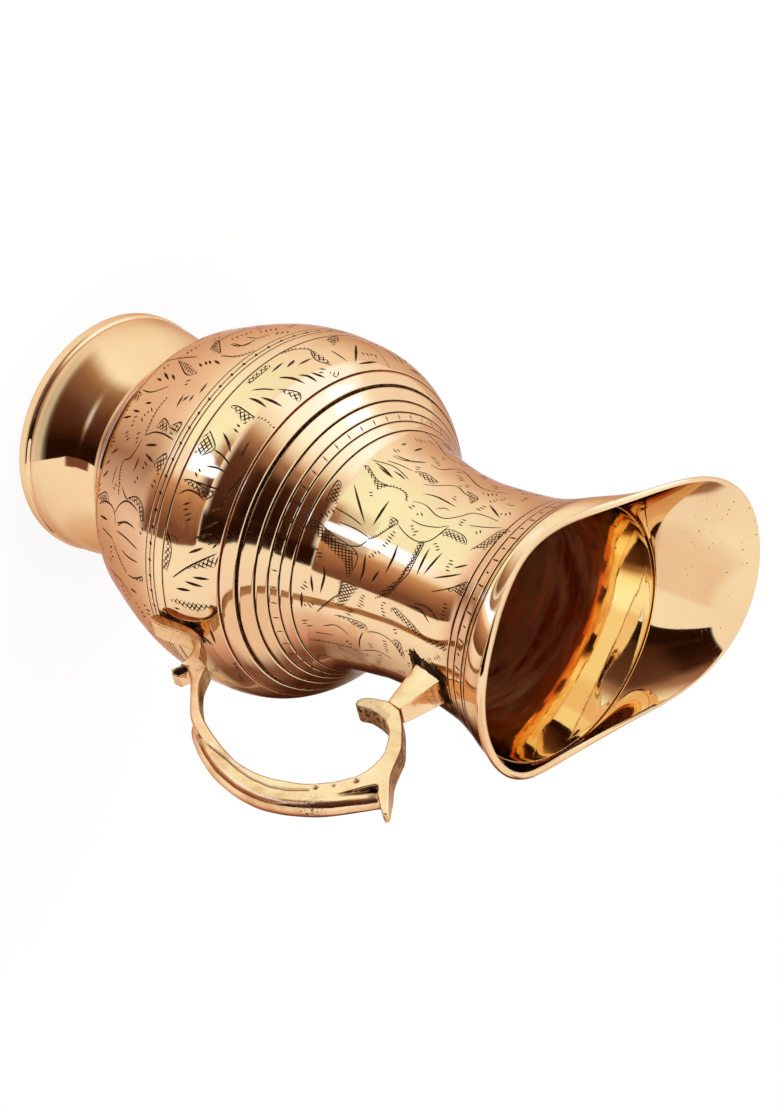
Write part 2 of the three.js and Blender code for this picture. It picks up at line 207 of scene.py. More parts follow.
def bumps(tree, *layers):
    """Stacks (height, distance in mm) layers into one normal."""
    normal = None
    for height, distance in layers:
        node = add_node(tree, "ShaderNodeBump", Strength=1.0, Distance=distance * MM)
        tree.links.new(height, node.inputs["Height"])
        wire(tree, normal, node.inputs["Normal"])
        normal = node.outputs["Normal"]
    return normal


def metal(tree, colour, roughness, normal=None, metallic=1.0, edge=EDGE_TINT):
    """The shader of a bare metal, from linked or plain values; edge tints what is seen at a shallow angle."""
    shader = add_node(tree, "ShaderNodeBsdfPrincipled")
    shader.inputs["Specular Tint"].default_value = (*edge, 1)
    sockets = {"Base Color": colour, "Roughness": roughness, "Normal": normal, "Metallic": metallic}
    for name, value in sockets.items():
        wire(tree, value, shader.inputs[name])
    end = add_node(tree, "ShaderNodeOutputMaterial")
    tree.links.new(shader.outputs["BSDF"], end.inputs["Surface"])


print("colour helpers ready")

# %% [markdown]
# ## Polished brass
#
# The outside is buffed almost to a mirror. Up close a buffed wall isn't perfect: it has a faint
# wave from the hand polishing, hair-fine scratches round the axis and slightly pinker patches.
# A mirror with no such flaws looks like plastic, so all three are here, each very weak.

# %% Polished brass
def polished_brass(name, light, deep, wave=0.02, buff=(0.045, 0.085)):
    finish, tree = new_finish(name)
    colour = ramp(tree, grain(tree, 28, 3), [(0.35, deep), (0.68, light)])
    scratches = grain(tree, 260, 5, (0.5, 0.5, 9))
    roughness = grey_ramp(tree, grain(tree, 60, 5), *buff)
    normal = bumps(tree, (grain(tree, 45, 1.5), wave), (scratches, 0.0012))
    metal(tree, colour, roughness, normal)
    return finish


body_finish = polished_brass("polished_brass", (0.945, 0.70, 0.41), (0.895, 0.61, 0.36))
foot_finish = polished_brass("polished_foot_brass", (0.94, 0.69, 0.39), (0.89, 0.60, 0.34),
                             wave=0.014, buff=(0.03, 0.06))
print("finishes:", body_finish.name, foot_finish.name)

# %% [markdown]
# ## The cut of the graver
#
# A graver leaves a bright V cut, and years of polish leave a dark paste in it. The paste is what
# makes the pattern read as dark lines on a light wall, while the cut itself still glints where the
# wall is dark. So this finish is a darker and rougher brass, broken up by noise.

# %% Engraved cut
def engraved_cut(name):
    finish, tree = new_finish(name)
    colour = ramp(tree, grain(tree, 700, 3), [(0.38, (0.03, 0.011, 0.005)), (0.62, (0.15, 0.065, 0.032))])
    roughness = grey_ramp(tree, grain(tree, 900, 3), 0.3, 0.6)
    metal(tree, colour, roughness)
    return finish


cut_finish = engraved_cut("engraved_cut")
print("finish:", cut_finish.name)

# %% [markdown]
# ## The unpolished inside
#
# Nobody buffs the inside of a jug below the neck. Its colour is brown, redder and darker towards
# the bottom, in streaks round the wall. One value runs up the inside, with flat clouds of noise added
# to it, and the colour, the gloss and how metallic the inside is are all read from that one value,
# so that they change together.

# %% Inside colour, darker towards the bottom
INSIDE_LOW, INSIDE_HIGH = 0.12, 0.238
INSIDE_COLOURS = [
    (0.05, (0.2, 0.018, 0.005)), (0.3, (0.62, 0.08, 0.018)), (0.42, (0.48, 0.05, 0.012)),
    (0.56, (0.92, 0.17, 0.04)), (0.74, (0.88, 0.40, 0.14)), (0.92, (0.97, 0.77, 0.43)),
]


def inside_brass(name):
    finish, tree = new_finish(name)
    height = one_axis(tree, object_place(tree), "Z")
    rise = stretched(tree, height, INSIDE_LOW, INSIDE_HIGH, -0.3, 0.7)
    # Darker towards the bottom, with streaks round the wall.
    skin = maths(tree, "MULTIPLY_ADD", grain(tree, 45, 6, (1, 1, 5), 0.7), 0.9, rise)
    colour = ramp(tree, skin, INSIDE_COLOURS)
    roughness = grey_ramp(tree, skin, 0.16, 0.045, 0.3, 0.9)
    metallic = grey_ramp(tree, skin, 0.66, 1, 0.45, 0.9)
    wall = bumps(tree, (grain(tree, 60, 3, (0.6, 0.6, 6)), 0.015), (grain(tree, 40, 2), 0.015))
    metal(tree, colour, roughness, wall, metallic, edge=(0.62, 0.24, 0.1))
    return finish


inside_finish = inside_brass("inside_brass")
print("finish:", inside_finish.name)

# %% [markdown]
# ## The line of the body
#
# One line, read off the two outlines of the jug in the photograph, gives the whole turned body:
# radius and height from the bottom of the bowl to the root of the lip. A smooth curve that passes
# through every one of those points keeps the soft swell of the belly that straight pieces would lose.

# %% Body line
BODY_POINTS = [
    (0, 17.7), (13.8, 19.2), (23.7, 23.3), (30.3, 28.2), (37.8, 35.0), (44.2, 42.1), (50.9, 49.0),
    (56.6, 56.2), (59.3, 62.2), (63.9, 74.2), (67.3, 86.2), (68.72, 98.2), (68.38, 110.2), (67.4, 116.2),
    (65.5, 122.2), (62.0, 128.2), (57.9, 132.9), (53.6, 137.4), (50.4, 140.9), (48.0, 144.0), (45.7, 147.6),
    (43.6, 152.2), (42.1, 158.2), (40.1, 170.2), (39.5, 176.2), (39.4, 188.2), (41.16, 206.2), (43.3, 218.2),
    (47.1, 229.2), (49.1, 233.7),
]
WALL = 1.9


def soft_curve(points, step):
    """Points about a step apart on a smooth curve through the given points."""
    p = np.array(points, float)
    p = np.vstack([2 * p[0] - p[1], p, 2 * p[-1] - p[-2]])
    rows = []
    for a, b, c, d in zip(p[:-3], p[1:-2], p[2:-1], p[3:]):
        count = max(1, int(round(np.linalg.norm(c - b) / step)))
        bend, twist = 2 * a - 5 * b + 4 * c - d, 3 * b - a - 3 * c + d
        for t in np.arange(count) / count:
            rows.append(0.5 * (2 * b + (c - a) * t + bend * t**2 + twist * t**3))
    return np.vstack([rows, p[-2]])


body_line = soft_curve(BODY_POINTS, 0.4)
line_step = np.gradient(body_line, axis=0)
line_step /= np.linalg.norm(line_step, axis=1)[:, None]
line_out = np.c_[line_step[:, 1], -line_step[:, 0]]
line_run = np.r_[0, np.cumsum(np.linalg.norm(np.diff(body_line, axis=0), axis=1))]


def on_body(height):
    """Radius and the two parts of the outward normal at a height."""
    columns = (body_line[:, 0], line_out[:, 0], line_out[:, 1])
    return [np.interp(height, body_line[:, 1], column) for column in columns]


def run_at(height):
    return float(np.interp(height, body_line[:, 1], line_run))


print("belly radius %.1f mm, neck radius %.1f mm" % (body_line[:, 0].max(), on_body(182)[0]))

# %% [markdown]
# ## The engraved pattern
#
# The pattern is the ordinary leaf work of such jugs: leaf outlines, tapering cuts that fan out of a
# point, edges with small teeth, and patches of cross hatching between the leaves.
# It is written down as paths of (angle round the jug in degrees, height in mm), as the engraver would
# draw it on the unrolled wall. The far side repeats the same drawing a little wider, and part of it
# comes once more under the spout.

# %% Engraved pattern of the belly
BELLY_LEAF_LINES = [
    [(83.9, 83.2), (84.1, 90.2), (79.2, 90.3)], [(79.1, 84.7), (78.4, 90.3), (74.1, 91.7)],
    [(109.9, 58.6), (110.2, 66.9), (106.9, 75.5)], [(125.3, 79), (123, 83.8), (122.4, 89.6), (122.9, 95.9)],
    [(126, 79), (129.6, 78), (133.4, 76), (135.2, 71.5)], [(137.2, 68.8), (141.5, 68.3), (145, 68.6)],
    [(142.7, 76.4), (144.9, 80.2), (145.5, 82.8)],
    [(152.9, 74), (148.3, 77.7), (145.9, 82.3), (146.1, 87.3), (147.1, 90.4)],
    [(154.9, 59.1), (151.6, 64.8), (151, 71.5), (153.2, 75), (156.4, 75.6)],
    [(155.8, 77.3), (152.7, 82.4), (152.2, 88.1), (152.9, 90.2)],
    [(99.1, 111.8), (96.5, 115.3), (94.7, 118.9)], [(120.5, 113.7), (121.1, 118.4), (123.1, 123.1)],
    [(125.9, 114.3), (125, 118.8), (125.3, 122.8)],
    [(131.6, 110.5), (131.2, 115.7), (130.9, 120.4), (130.3, 123.8)],
    [(136.8, 107.7), (134.5, 111.2), (134.4, 115.6), (135.8, 119.2)],
    [(132.1, 124.2), (127.1, 126.4), (122.3, 127.5)], [(149, 108), (149.3, 111.4), (150.5, 112.6)],
    [(162.2, 110.9), (159.3, 114.5), (156.8, 117.7), (153.4, 122.6), (150, 127.3)],
    [(169, 112.1), (167.8, 119.8), (167.1, 127.9), (166.3, 130.7)],
    [(155.1, 76.3), (152.3, 83.8), (152.4, 89.4)], [(162, 63), (161.6, 73.1), (162.7, 74.9)],
    [(157.4, 76.7), (157.2, 84.7), (158.5, 92.8)], [(162.3, 81), (163, 86.2), (162.7, 92.8)],
    [(169.8, 84.2), (169.2, 89.3), (166.8, 94.7)],
    [(184.5, 127.9), (190.1, 125.5), (193.1, 121.4), (193.5, 118.8)],
    [(84.6, 83), (84.8, 88.8), (79.8, 91)], [(68.8, 115.6), (68.1, 119.9), (67.4, 123.3)],
]
BELLY_LEAF_STROKES = [
    [(95.9, 79.8), (97.4, 83.6)], [(94.7, 81.8), (96.2, 85.1)], [(94, 83.3), (95.6, 86.6)],
    [(93.6, 85.7), (94.6, 90.4)], [(104.1, 62.5), (105.3, 67.7)], [(101.1, 63.6), (104.6, 71.7)],
    [(101.9, 70.2), (104.3, 75.5)], [(114.8, 67.4), (114.2, 72.1)], [(118.3, 62), (118.3, 67.8)],
    [(122.1, 57.7), (120.5, 63.8)], [(113.7, 87.8), (108.5, 86.8)], [(111.3, 88.2), (108.2, 90)],
    [(110.5, 92), (107.5, 91.5)], [(107, 93.6), (102.2, 93.1)], [(127.7, 82.2), (126.1, 89.4)],
    [(131.4, 82), (137.1, 81.4)], [(129.9, 84.3), (131.5, 91.3)], [(132.3, 65.3), (135.6, 60.6)],
    [(137.1, 62), (140.1, 59.2)], [(140.9, 63), (144.6, 59.2)], [(158.4, 60.8), (156.8, 69)],
    [(90.4, 111.9), (84.4, 111.2)], [(84.4, 114.3), (81.4, 113.2)],
    [(90.2, 115.6), (88.3, 118.7), (87.2, 121.7)], [(101.7, 113.1), (101, 117), (101.3, 121.3)],
    [(99.5, 116.5), (98.5, 120.8), (97.9, 124.9)], [(114.7, 113.6), (116.7, 117.4), (119.2, 120.4)],
    [(112.9, 123.5), (120.3, 124.1)], [(138.4, 120.9), (135.5, 125.8)], [(144.4, 120.2), (139.7, 125.8)],
    [(147.8, 117.9), (144, 125)], [(152.5, 117.2), (149.4, 122.7)], [(159.7, 119.4), (159.3, 125.6)],
    [(161.8, 116.2), (162.2, 123.7)], [(165.1, 112.6), (164.4, 119)], [(174.9, 84.5), (174.6, 89.5)],
    [(177.4, 123.9), (184.3, 124.1)], [(180.4, 119.9), (185.2, 123.1)], [(85.8, 114.4), (81.6, 113)],
    [(82.5, 116), (76.8, 116.2)], [(90.7, 115.6), (87.9, 119.2), (86.4, 124)],
    [(85.9, 119.3), (83.6, 122), (82.7, 125.6)], [(82, 121.2), (79.2, 125.7)],
    [(56.5, 114.3), (64.9, 124.4)], [(64.3, 125), (54.9, 124.8)],
]
BELLY_TOOTHED_LINES = [
    [(88.8, 77), (79.4, 74), (71.2, 76), (67.5, 83)], [(91.4, 86.2), (89.6, 93.9), (85.2, 96.9)],
    [(95.8, 56.5), (93.9, 62.3), (93, 75.2)],
    [(125.2, 79.7), (121.1, 78.9), (116.8, 78.3), (114.6, 78.4), (110.5, 79.6)],
    [(135.2, 71.5), (139.1, 72.1), (143.3, 74.1), (146.4, 75)],
    [(106, 120.7), (105.3, 124.1), (106.2, 128.1)], [(162.7, 74), (166.8, 79.5), (169.8, 84.2)],
    [(177.4, 65.5), (176.1, 77.5), (179.2, 83.8)], [(200.3, 125.2), (205.8, 123.9)],
    [(82.2, 106.6), (77, 108.3), (74.2, 112), (75.1, 116.1)],
    [(53.1, 112.4), (50.8, 117.3), (51.1, 123.6), (51.9, 128.6)],
]
BELLY_HATCHED_PATCHES = [
    [(88.8, 77), (81.8, 72.5), (90.4, 85.5), (90.3, 82)],
    [(94.6, 64.6), (101.3, 78.8), (100.1, 84.7), (96.2, 74.5)],
    [(114.6, 55.4), (110.9, 55.7), (111.6, 61.1), (115, 62)],
    [(121.6, 83.7), (117.9, 85), (119.5, 90.4), (122.2, 90.6)],
    [(119.5, 90.4), (117, 94.9), (121.3, 95.6), (121.8, 92.1)],
    [(131.2, 91.1), (127.3, 95.1), (128.4, 97.1), (134.4, 95.8), (133.7, 93.6)],
    [(145.1, 81.8), (143.1, 88), (145.2, 92.7), (149.6, 94.8), (149.6, 92.5), (145.4, 89.7)],
    [(152.6, 57.2), (148.4, 64.5), (151, 69.5), (153.6, 62.2)],
    [(97.4, 107), (97, 109), (88.3, 109.4), (87.7, 107)],
    [(94.4, 118.6), (90.3, 125.2), (93.2, 127.3), (93.7, 124.1)],
    [(106.6, 109.4), (105.5, 112.1), (105.9, 118), (106, 120.7), (109.9, 118.5), (108.2, 114.8)],
    [(115.8, 108.4), (120, 114.2), (123.9, 110.6), (123.7, 107.1), (119, 107.2)],
    [(132.5, 107.3), (131.4, 111.3), (132.2, 118.7), (131.6, 122.2), (135.8, 119.2), (134.1, 114.6)],
    [(134.4, 123.4), (122.9, 127.1), (122, 128), (125.4, 128.3), (132.4, 126.6), (135.9, 124.6)],
    [(147.4, 105.9), (150.6, 108.9), (154.7, 110.1),
     (160.9, 108.3), (161.2, 106.1), (157.6, 106.5), (152.9, 107.4)],
    [(157.5, 116.5), (151.5, 125), (150.8, 128), (152.9, 127.6), (155.2, 126.7), (157.3, 118.5)],
    [(170.2, 109.1), (168.6, 112.2), (168.1, 124.7), (168.7, 127.8), (170.5, 123.8), (172, 120.7)],
    [(169.3, 89.9), (166.2, 95.4), (169.2, 94.9)], [(184.8, 106.9), (185.8, 113.1), (189, 107.6)],
    [(185.4, 127.7), (188.5, 128.3), (198.2, 126.9), (197.9, 125.7), (190.2, 126.8)],
    [(74.2, 112), (76.5, 117.8), (73.4, 123.1), (72.9, 117.6), (74, 113.8)],
    [(76.7, 124.4), (63, 127.9), (67.4, 128.6), (74.1, 127.9), (76.5, 126.6)],
    [(65.1, 108.9), (59, 106.8), (62, 111.9), (65.8, 114)],
]
belly_paths = (BELLY_LEAF_LINES, BELLY_LEAF_STROKES, BELLY_TOOTHED_LINES, BELLY_HATCHED_PATCHES)
print("drawn paths: %d on the belly" % sum(map(len, belly_paths)))

# %% Engraved pattern of the neck
NECK_LEAF_LINES = [
    [(78.8, 155.5), (76.5, 161), (68.4, 166.1)], [(83.3, 156.3), (81, 161.3), (80, 167.4)],
    [(117.7, 153.1), (118.4, 160.9), (120, 167.3)], [(123.1, 157.3), (122.7, 164.6), (123.8, 171.7)],
    [(132.3, 156.4), (132, 162.9), (129.8, 168.9), (125.1, 171.4)],
    [(111.2, 178.4), (113.8, 182.6), (115.5, 187.6), (115.1, 192.4), (110.9, 196.1), (101.5, 198.4)],
    [(96.8, 176.9), (95.7, 182.9), (98.8, 189.8), (98.6, 194.6),
     (94.7, 198.9), (90.3, 202.2), (89.6, 207.9), (91, 215.6)],
    [(106.4, 182), (106.8, 187.7), (104.8, 194.5), (101.7, 198)],
    [(84.3, 173.9), (82, 178.1), (75.1, 184.1), (78.8, 191.2), (80, 197.3)],
    [(95.6, 187.2), (93.2, 190.2), (93.3, 193.1)], [(98.1, 204.9), (96.7, 210.7), (94.1, 219.3)],
    [(135.4, 205.8), (129.8, 214), (124.5, 221.4)], [(177.3, 158.2), (174.3, 164.8), (178.4, 170)],
    [(182.9, 153.7), (182.2, 158.1), (181.5, 162.7)],
    [(171.6, 177.9), (168.9, 183.5), (169.3, 189.9), (172.5, 193.9), (176.5, 197.1)],
    [(172.3, 176.5), (179.4, 173.9), (185.5, 172.7)], [(186.8, 173.3), (181.8, 181.6), (181.9, 190.1)],
    [(88.1, 152.1), (84, 160.6), (86.3, 169.6)],
]
NECK_LEAF_STROKES = [
    [(69, 153.2), (65.2, 153.3)], [(67, 158.1), (59.7, 157.4)],
    [(87.7, 153.7), (88.1, 158.7), (90.2, 164.3)], [(86.5, 161.8), (86.5, 165.1), (87.6, 168.6)],
    [(103.2, 154.5), (111.3, 161.4), (118.7, 167.6)], [(102.1, 169.9), (110.9, 170.3), (117.9, 170.4)],
    [(90.1, 177.5), (88.1, 183.9), (90, 194.4)], [(80.9, 203.5), (88.5, 213.8)],
    [(120.4, 183.4), (127.9, 184.2), (136.9, 183.5)], [(136.2, 180.8), (144.2, 178.6)],
    [(115.9, 196.9), (131.4, 197.1)], [(115.7, 203.2), (129.6, 199.9)], [(116.7, 217.1), (120.9, 211.1)],
    [(121.5, 216.8), (129.1, 204.3)], [(131.4, 172.7), (139.6, 174.1), (146.1, 173.8)],
    [(146.5, 195.7), (145.4, 203.7), (149.3, 209.8)], [(144.1, 199.2), (142.7, 207.1), (146.5, 214.1)],
    [(151.1, 154.1), (160.1, 155.6)], [(144.9, 158.1), (149.8, 159.4), (159.3, 158.5)],
    [(160.6, 151.3), (169.5, 151.1)], [(165.7, 201.7), (168.9, 204.7)],
    [(77.2, 155.7), (75, 161.9), (69.6, 166)], [(88.8, 156.3), (90.4, 164.9)],
]
NECK_TOOTHED_LINES = [
    [(46.3, 148.1), (42.4, 151.8), (50, 162.4), (51.2, 168.5)],
    [(97.1, 163.6), (94.2, 168.2), (94.6, 172.9), (99.1, 175.5)],
    [(125.1, 171.4), (121.2, 174.1), (116.3, 176.3), (112.6, 178.2)],
    [(115.1, 192.4), (123.9, 192.9), (129.9, 191.4), (136.8, 190.3), (146.3, 186), (150.2, 181.6)],
    [(148.3, 166.9), (155.9, 166.1), (159.1, 163.8), (169.8, 156.6)],
    [(189.1, 150.8), (188.3, 157.5), (187.5, 168.2), (189.3, 171)],
    [(69.1, 167.6), (67.3, 172.3), (57.2, 175.5), (68.5, 192.1), (65.7, 203.2)],
]
NECK_HATCHED_PATCHES = [
    [(93, 151.8), (91.8, 153.7), (95.8, 160.9), (95, 165.9), (100.8, 163.6), (95.9, 157.3)],
    [(79.5, 167), (76.3, 171.5), (78.6, 178.8), (82.1, 176.3), (80.6, 170.6)],
    [(117.8, 150.1), (106, 149.5), (108.1, 152.3), (115.8, 154.3)],
    [(109.4, 173.9), (110, 178.2), (113.1, 178.4), (116.3, 176.3)],
    [(131, 148), (126.8, 150.2), (129.6, 157.6), (132.9, 169.1),
     (141.5, 170.5), (147.3, 169.1), (140, 165.2), (135.9, 157.1)],
    [(75.2, 188.9), (79, 197.1), (85.3, 197.4), (81.5, 194)],
    [(108.6, 197.2), (103.9, 198.9), (104.4, 207), (108.2, 210.9), (108.8, 206.7), (107.9, 202.3)],
    [(110.7, 213.4), (105, 216.3), (95.6, 219.9), (95.5, 224.3), (101.6, 222.2), (108, 220), (108, 216.3)],
    [(115.8, 190.8), (115.2, 193.5), (130, 193.5), (136.1, 191.7),
     (148.2, 186.4), (148.2, 182.3), (136.1, 189.5), (126.9, 191.1)],
    [(131.4, 212.6), (124.1, 221.1), (131, 222.7), (131, 218)],
    [(152.9, 189.4), (150.6, 191.8), (153.4, 200), (156.8, 208.8),
     (153.3, 218.6), (155.4, 221.5), (157.7, 219.2), (159.3, 209), (158.2, 202.6)],
    [(150, 165.5), (148.6, 168.5), (149.1, 174.3), (159.8, 169.5), (163.7, 165.5)],
    [(168.7, 164.1), (167.5, 167), (167.4, 177.8), (170.7, 178.5), (171.6, 174.1), (168.8, 169.4)],
    [(168.5, 191.1), (167.2, 194.9), (175.1, 197.3), (175.8, 194.5)],
]
neck_paths = (NECK_LEAF_LINES, NECK_LEAF_STROKES, NECK_TOOTHED_LINES, NECK_HATCHED_PATCHES)
print("drawn paths: %d on the neck" % sum(map(len, neck_paths)))

# %% [markdown]
# ## From a path to a cut
#
# A cut has a width that swells and fades, so each path becomes a thin ribbon with pointed ends and a
# line down its middle for the bottom of the V. Everything happens on the unrolled wall, where one
# direction is the way round and the other is the way up along the wall, both in millimetres.

# %% Cuts on the unrolled wall
ROUND = 60.0
CURVE_STEP, STRAIGHT_STEP = 1.6, 2.2
LINE_WIDTH, STROKE_WIDTH, EDGE_WIDTH = 0.62, 1.05, 0.5
TOOTH_WIDTH, HATCH_WIDTH, SHEAF_WIDTH = 0.6, 0.52, 0.78
random.seed(7)


def unrolled(path):
    return [(math.radians(angle) * ROUND, run_at(height)) for angle, height in path]


def cut(path, width, swell=0.5, slope=0.8):
    """A pointed ribbon along an unrolled path: middle points, half widths, and the slope of the V."""
    if len(path) > 2:
        middle = soft_curve(path, CURVE_STEP)
    else:
        start, end = np.array(path, float)
        steps = max(2, int(np.linalg.norm(end - start) / STRAIGHT_STEP) + 1)
        middle = start + (end - start) * np.linspace(0, 1, steps + 1)[:, None]
    half = width / 2 * np.sin(np.pi * np.linspace(0, 1, len(middle))) ** swell
    half[0] = half[-1] = 0
    return middle, half, slope


print("widest drawn cut %.2f mm" % max(LINE_WIDTH, STROKE_WIDTH, EDGE_WIDTH))

# %% Teeth and hatching
def teeth(path, spacing=1.35, length=1.5, lean=0.35, fine=0.25):
    """Short cuts standing on one side of a path, like the teeth of a comb."""
    line = soft_curve(path, fine)
    cuts = []
    for i in range(2, len(line) - 2, max(2, int(spacing / fine))):
        along = line[i + 1] - line[i - 1]
        along /= np.linalg.norm(along)
        across = np.array([-along[1], along[0]]) * (1 - lean * random.uniform(0.6, 1.4)) + along * lean
        end = line[i] + across * length * random.uniform(0.8, 1.2)
        cuts.append(cut([line[i], end], TOOTH_WIDTH))
    return cuts


def crossings(corners, centre, along, across, offset):
    """Where a straight line crosses the sides of a patch, as places along that line."""
    hits = []
    for a, b in zip(corners, np.roll(corners, -1, 0)):
        da, db = (a - centre) @ across - offset, (b - centre) @ across - offset
        if da * db < 0:
            hits.append(float((a + (b - a) * da / (da - db) - centre) @ along))
    return sorted(hits)


def hatching(patch, spacing=1.4, shortest=0.8, over=0.15):
    """Two families of straight cuts inside a closed patch, each a little longer than the patch."""
    corners = np.array(patch)
    centre = corners.mean(0)
    _, _, axes = np.linalg.svd(corners - centre)
    lean = math.atan2(axes[0][1], axes[0][0])
    cuts = []
    for turned in (lean + math.radians(52), lean - math.radians(38)):
        along = np.array([math.cos(turned), math.sin(turned)])
        across = np.array([-along[1], along[0]])
        side = (corners - centre) @ across
        for offset in np.arange(side.min() + 0.4 * spacing, side.max(), spacing):
            offset += random.uniform(-0.12, 0.12)
            hits = crossings(corners, centre, along, across, offset)
            for low, high in zip(hits[::2], hits[1::2]):
                if high - low > shortest:
                    start = centre + across * offset
                    ends = [start + along * (low - over), start + along * (high + over)]
                    cuts.append(cut(ends, HATCH_WIDTH, 0.22))
    return cuts


print("teeth and hatching ready")

# %% The drawing and its copies
# Each copy: an angle in the drawing, the same angle on the jug, a stretch, and the part that is taken.
COPIES = [(0, 0, 1, 0, 360), (47, 207, 1.25, 0, 168), (0, -82, 1, 80, 131)]


def copied(paths, copy):
    """The unrolled paths of one copy: those that lie whole in its part of the drawing."""
    drawn, turned, stretch, first, last = copy
    whole = [path for path in paths if first <= min(path)[0] and max(path)[0] <= last]
    return [unrolled([(turned + (a - drawn) * stretch, z) for a, z in path]) for path in whole]


def drawing(lines, strokes, combs, patches):
    """All the cuts of one zone, in every copy of the drawing."""
    cuts = []
    for copy in COPIES:
        cuts += [cut(path, LINE_WIDTH, 0.22) for path in copied(lines, copy)]
        cuts += [cut(path, STROKE_WIDTH, 0.8, 0.55) for path in copied(strokes, copy)]
        for path in copied(combs, copy):
            cuts += teeth(path) + [cut(path, EDGE_WIDTH, 0.2)]
        for path in copied(patches, copy):
            cuts += hatching(path) + [cut(path[:len(path) // 2 + 1], EDGE_WIDTH, 0.15)]
    return cuts


belly_cuts = drawing(*belly_paths)
neck_cuts = drawing(*neck_paths)
print("cuts: %d on the belly, %d on the neck" % (len(belly_cuts), len(neck_cuts)))

# %% [markdown]
# ## Ticks and the ground between the leaves
#
# Three bands carry a simple row of marks: dots on the middle line of the belly band, ladder ticks
# between two shoulder rings, and long and short ticks by turns under the lip. Low on the belly a row
# of slanting strokes climbs in threes. The engraver then fills the free ground with small sheaves
# of strokes, and here their places are random, but only where nothing else is near.

# %% Rows of ticks
def tick_row(low, high, count, first, width):
    """Even ticks between two heights, each leaning by half a degree."""
    angles = [first + k * 360 / count for k in range(count)]
    return [cut(unrolled([(angle - 0.25, low), (angle + 0.25, high)]), width, 0.3) for angle in angles]


belly_cuts += tick_row(98.7, 100.5, 69, 96.8, 1.25)
for k, angle in enumerate(np.arange(2, 360, 7.2)):
    low = 42.5 + 1.5 * (k % 3)
    belly_cuts.append(cut(unrolled([(angle, low), (angle + 2.2, low + 4)]), 0.7, 0.8))
neck_cuts += tick_row(141.25, 143.7, 49, 79.8, 0.7)
neck_cuts += tick_row(226.4, 230.8, 30, 111.5, 0.8)
neck_cuts += tick_row(227.3, 229.5, 30, 117.5, 1.0)
print("with the ticks: %d and %d" % (len(belly_cuts), len(neck_cuts)))

# %% Sheaves of strokes
SHEAF_GAP = 1.7
CLEAR = 1.15


def sheaves(low, high, cuts, tries):
    """Small sheaves of strokes in the free spots between two heights."""
    taken = np.vstack([middle for middle, _, _ in cuts])
    added = []
    for _ in range(tries):
        spot = np.array([math.radians(random.uniform(0, 360)) * ROUND, run_at(random.uniform(low, high))])
        lean = math.radians(random.uniform(35, 145))
        along = np.array([math.cos(lean), math.sin(lean)])
        across = np.array([-along[1], along[0]])
        sheaf = []
        for k in range(random.randint(2, 5)):
            start = spot + across * k * SHEAF_GAP + along * random.uniform(-0.4, 0.4)
            sheaf.append((start, start + along * random.uniform(1.8, 4.0)))
        marks = np.array([p for start, end in sheaf for p in (start, end, (start + end) / 2)])
        inside = run_at(low) < marks[:, 1].min() and marks[:, 1].max() < run_at(high)
        if inside and np.linalg.norm(taken[:, None] - marks[None], axis=2).min() > CLEAR:
            made = [cut(list(pair), SHEAF_WIDTH, 0.7, 0.6) for pair in sheaf]
            added += made
            taken = np.vstack([taken] + [middle for middle, _, _ in made])
    return added


belly_cuts += sheaves(50, 96.4, belly_cuts, 900) + sheaves(107.2, 127, belly_cuts, 700)
neck_cuts += sheaves(149, 220.5, neck_cuts, 1100)
print("with the sheaves: %d and %d" % (len(belly_cuts), len(neck_cuts)))

# %% [markdown]
# ## An engraved wall
#
# A grid fine enough to bend every cut would need millions of faces, and a bump map would leave the
# closed mesh smooth. So the unrolled wall is cut into triangles that follow the ribbons exactly
# (a constrained triangulation, which Blender has built in), and then rolled up: points on a
# middle line sink into the metal, all others stay on the surface.
# The turned grooves are rows of the grid that sink in the same way.

# %% Grid of the unrolled wall
SEAM = -60.0
LEFT, SPAN = math.radians(SEAM) * ROUND, 2 * math.pi * ROUND
SHOULDER = 0.45


def wall_heights(low, high, rings, step=2.4):
    """Rows of the grid: even steps, and five rows for each turned groove instead of those near it."""
    rows = [z for z in np.linspace(low, high, int((high - low) / step) + 1)
            if all(abs(z - r) > w / 2 + 0.5 + SHOULDER for r, w, _ in rings)]
    for r, w, _ in rings:
        groove = (r - w / 2 - SHOULDER, r - w / 2, r, r + w / 2, r + w / 2 + SHOULDER)
        rows += [z for z in groove if low < z < high]
    return sorted(set(rows + [low, high]))


def wall_grid(low, high, rings):
    """Points of the grid, and the edges that have to stay: its ends, its grooves and the seam."""
    rows = wall_heights(low, high, rings)
    points, edges = [], []
    for z in rows:
        first, run = len(points), run_at(z)
        points += [(LEFT + SPAN * i / COLUMNS, run) for i in range(COLUMNS + 1)]
        if z in (low, high) or any(abs(z - r) <= w / 2 + SHOULDER + 1e-6 for r, w, _ in rings):
            edges += [(first + i, first + i + 1) for i in range(COLUMNS)]
    row = COLUMNS + 1
    for side in (0, COLUMNS):
        edges += [(k * row + side, (k + 1) * row + side) for k in range(len(rows) - 1)]
    return points, edges


print("grid helpers ready, seam at %.0f degrees" % SEAM)

# %% Triangles that follow the cuts
SEAM_GAP, END_GAP = 0.6, 0.5
SAMPLE_STEP = 0.15


def fits(line, bottom, top):
    """Whether a cut lies clear of the seam and of both ends of the wall."""
    return (line[:, 0].min() >= LEFT + SEAM_GAP and line[:, 0].max() <= LEFT + SPAN - SEAM_GAP
            and line[:, 1].min() >= bottom + END_GAP and line[:, 1].max() <= top - END_GAP)


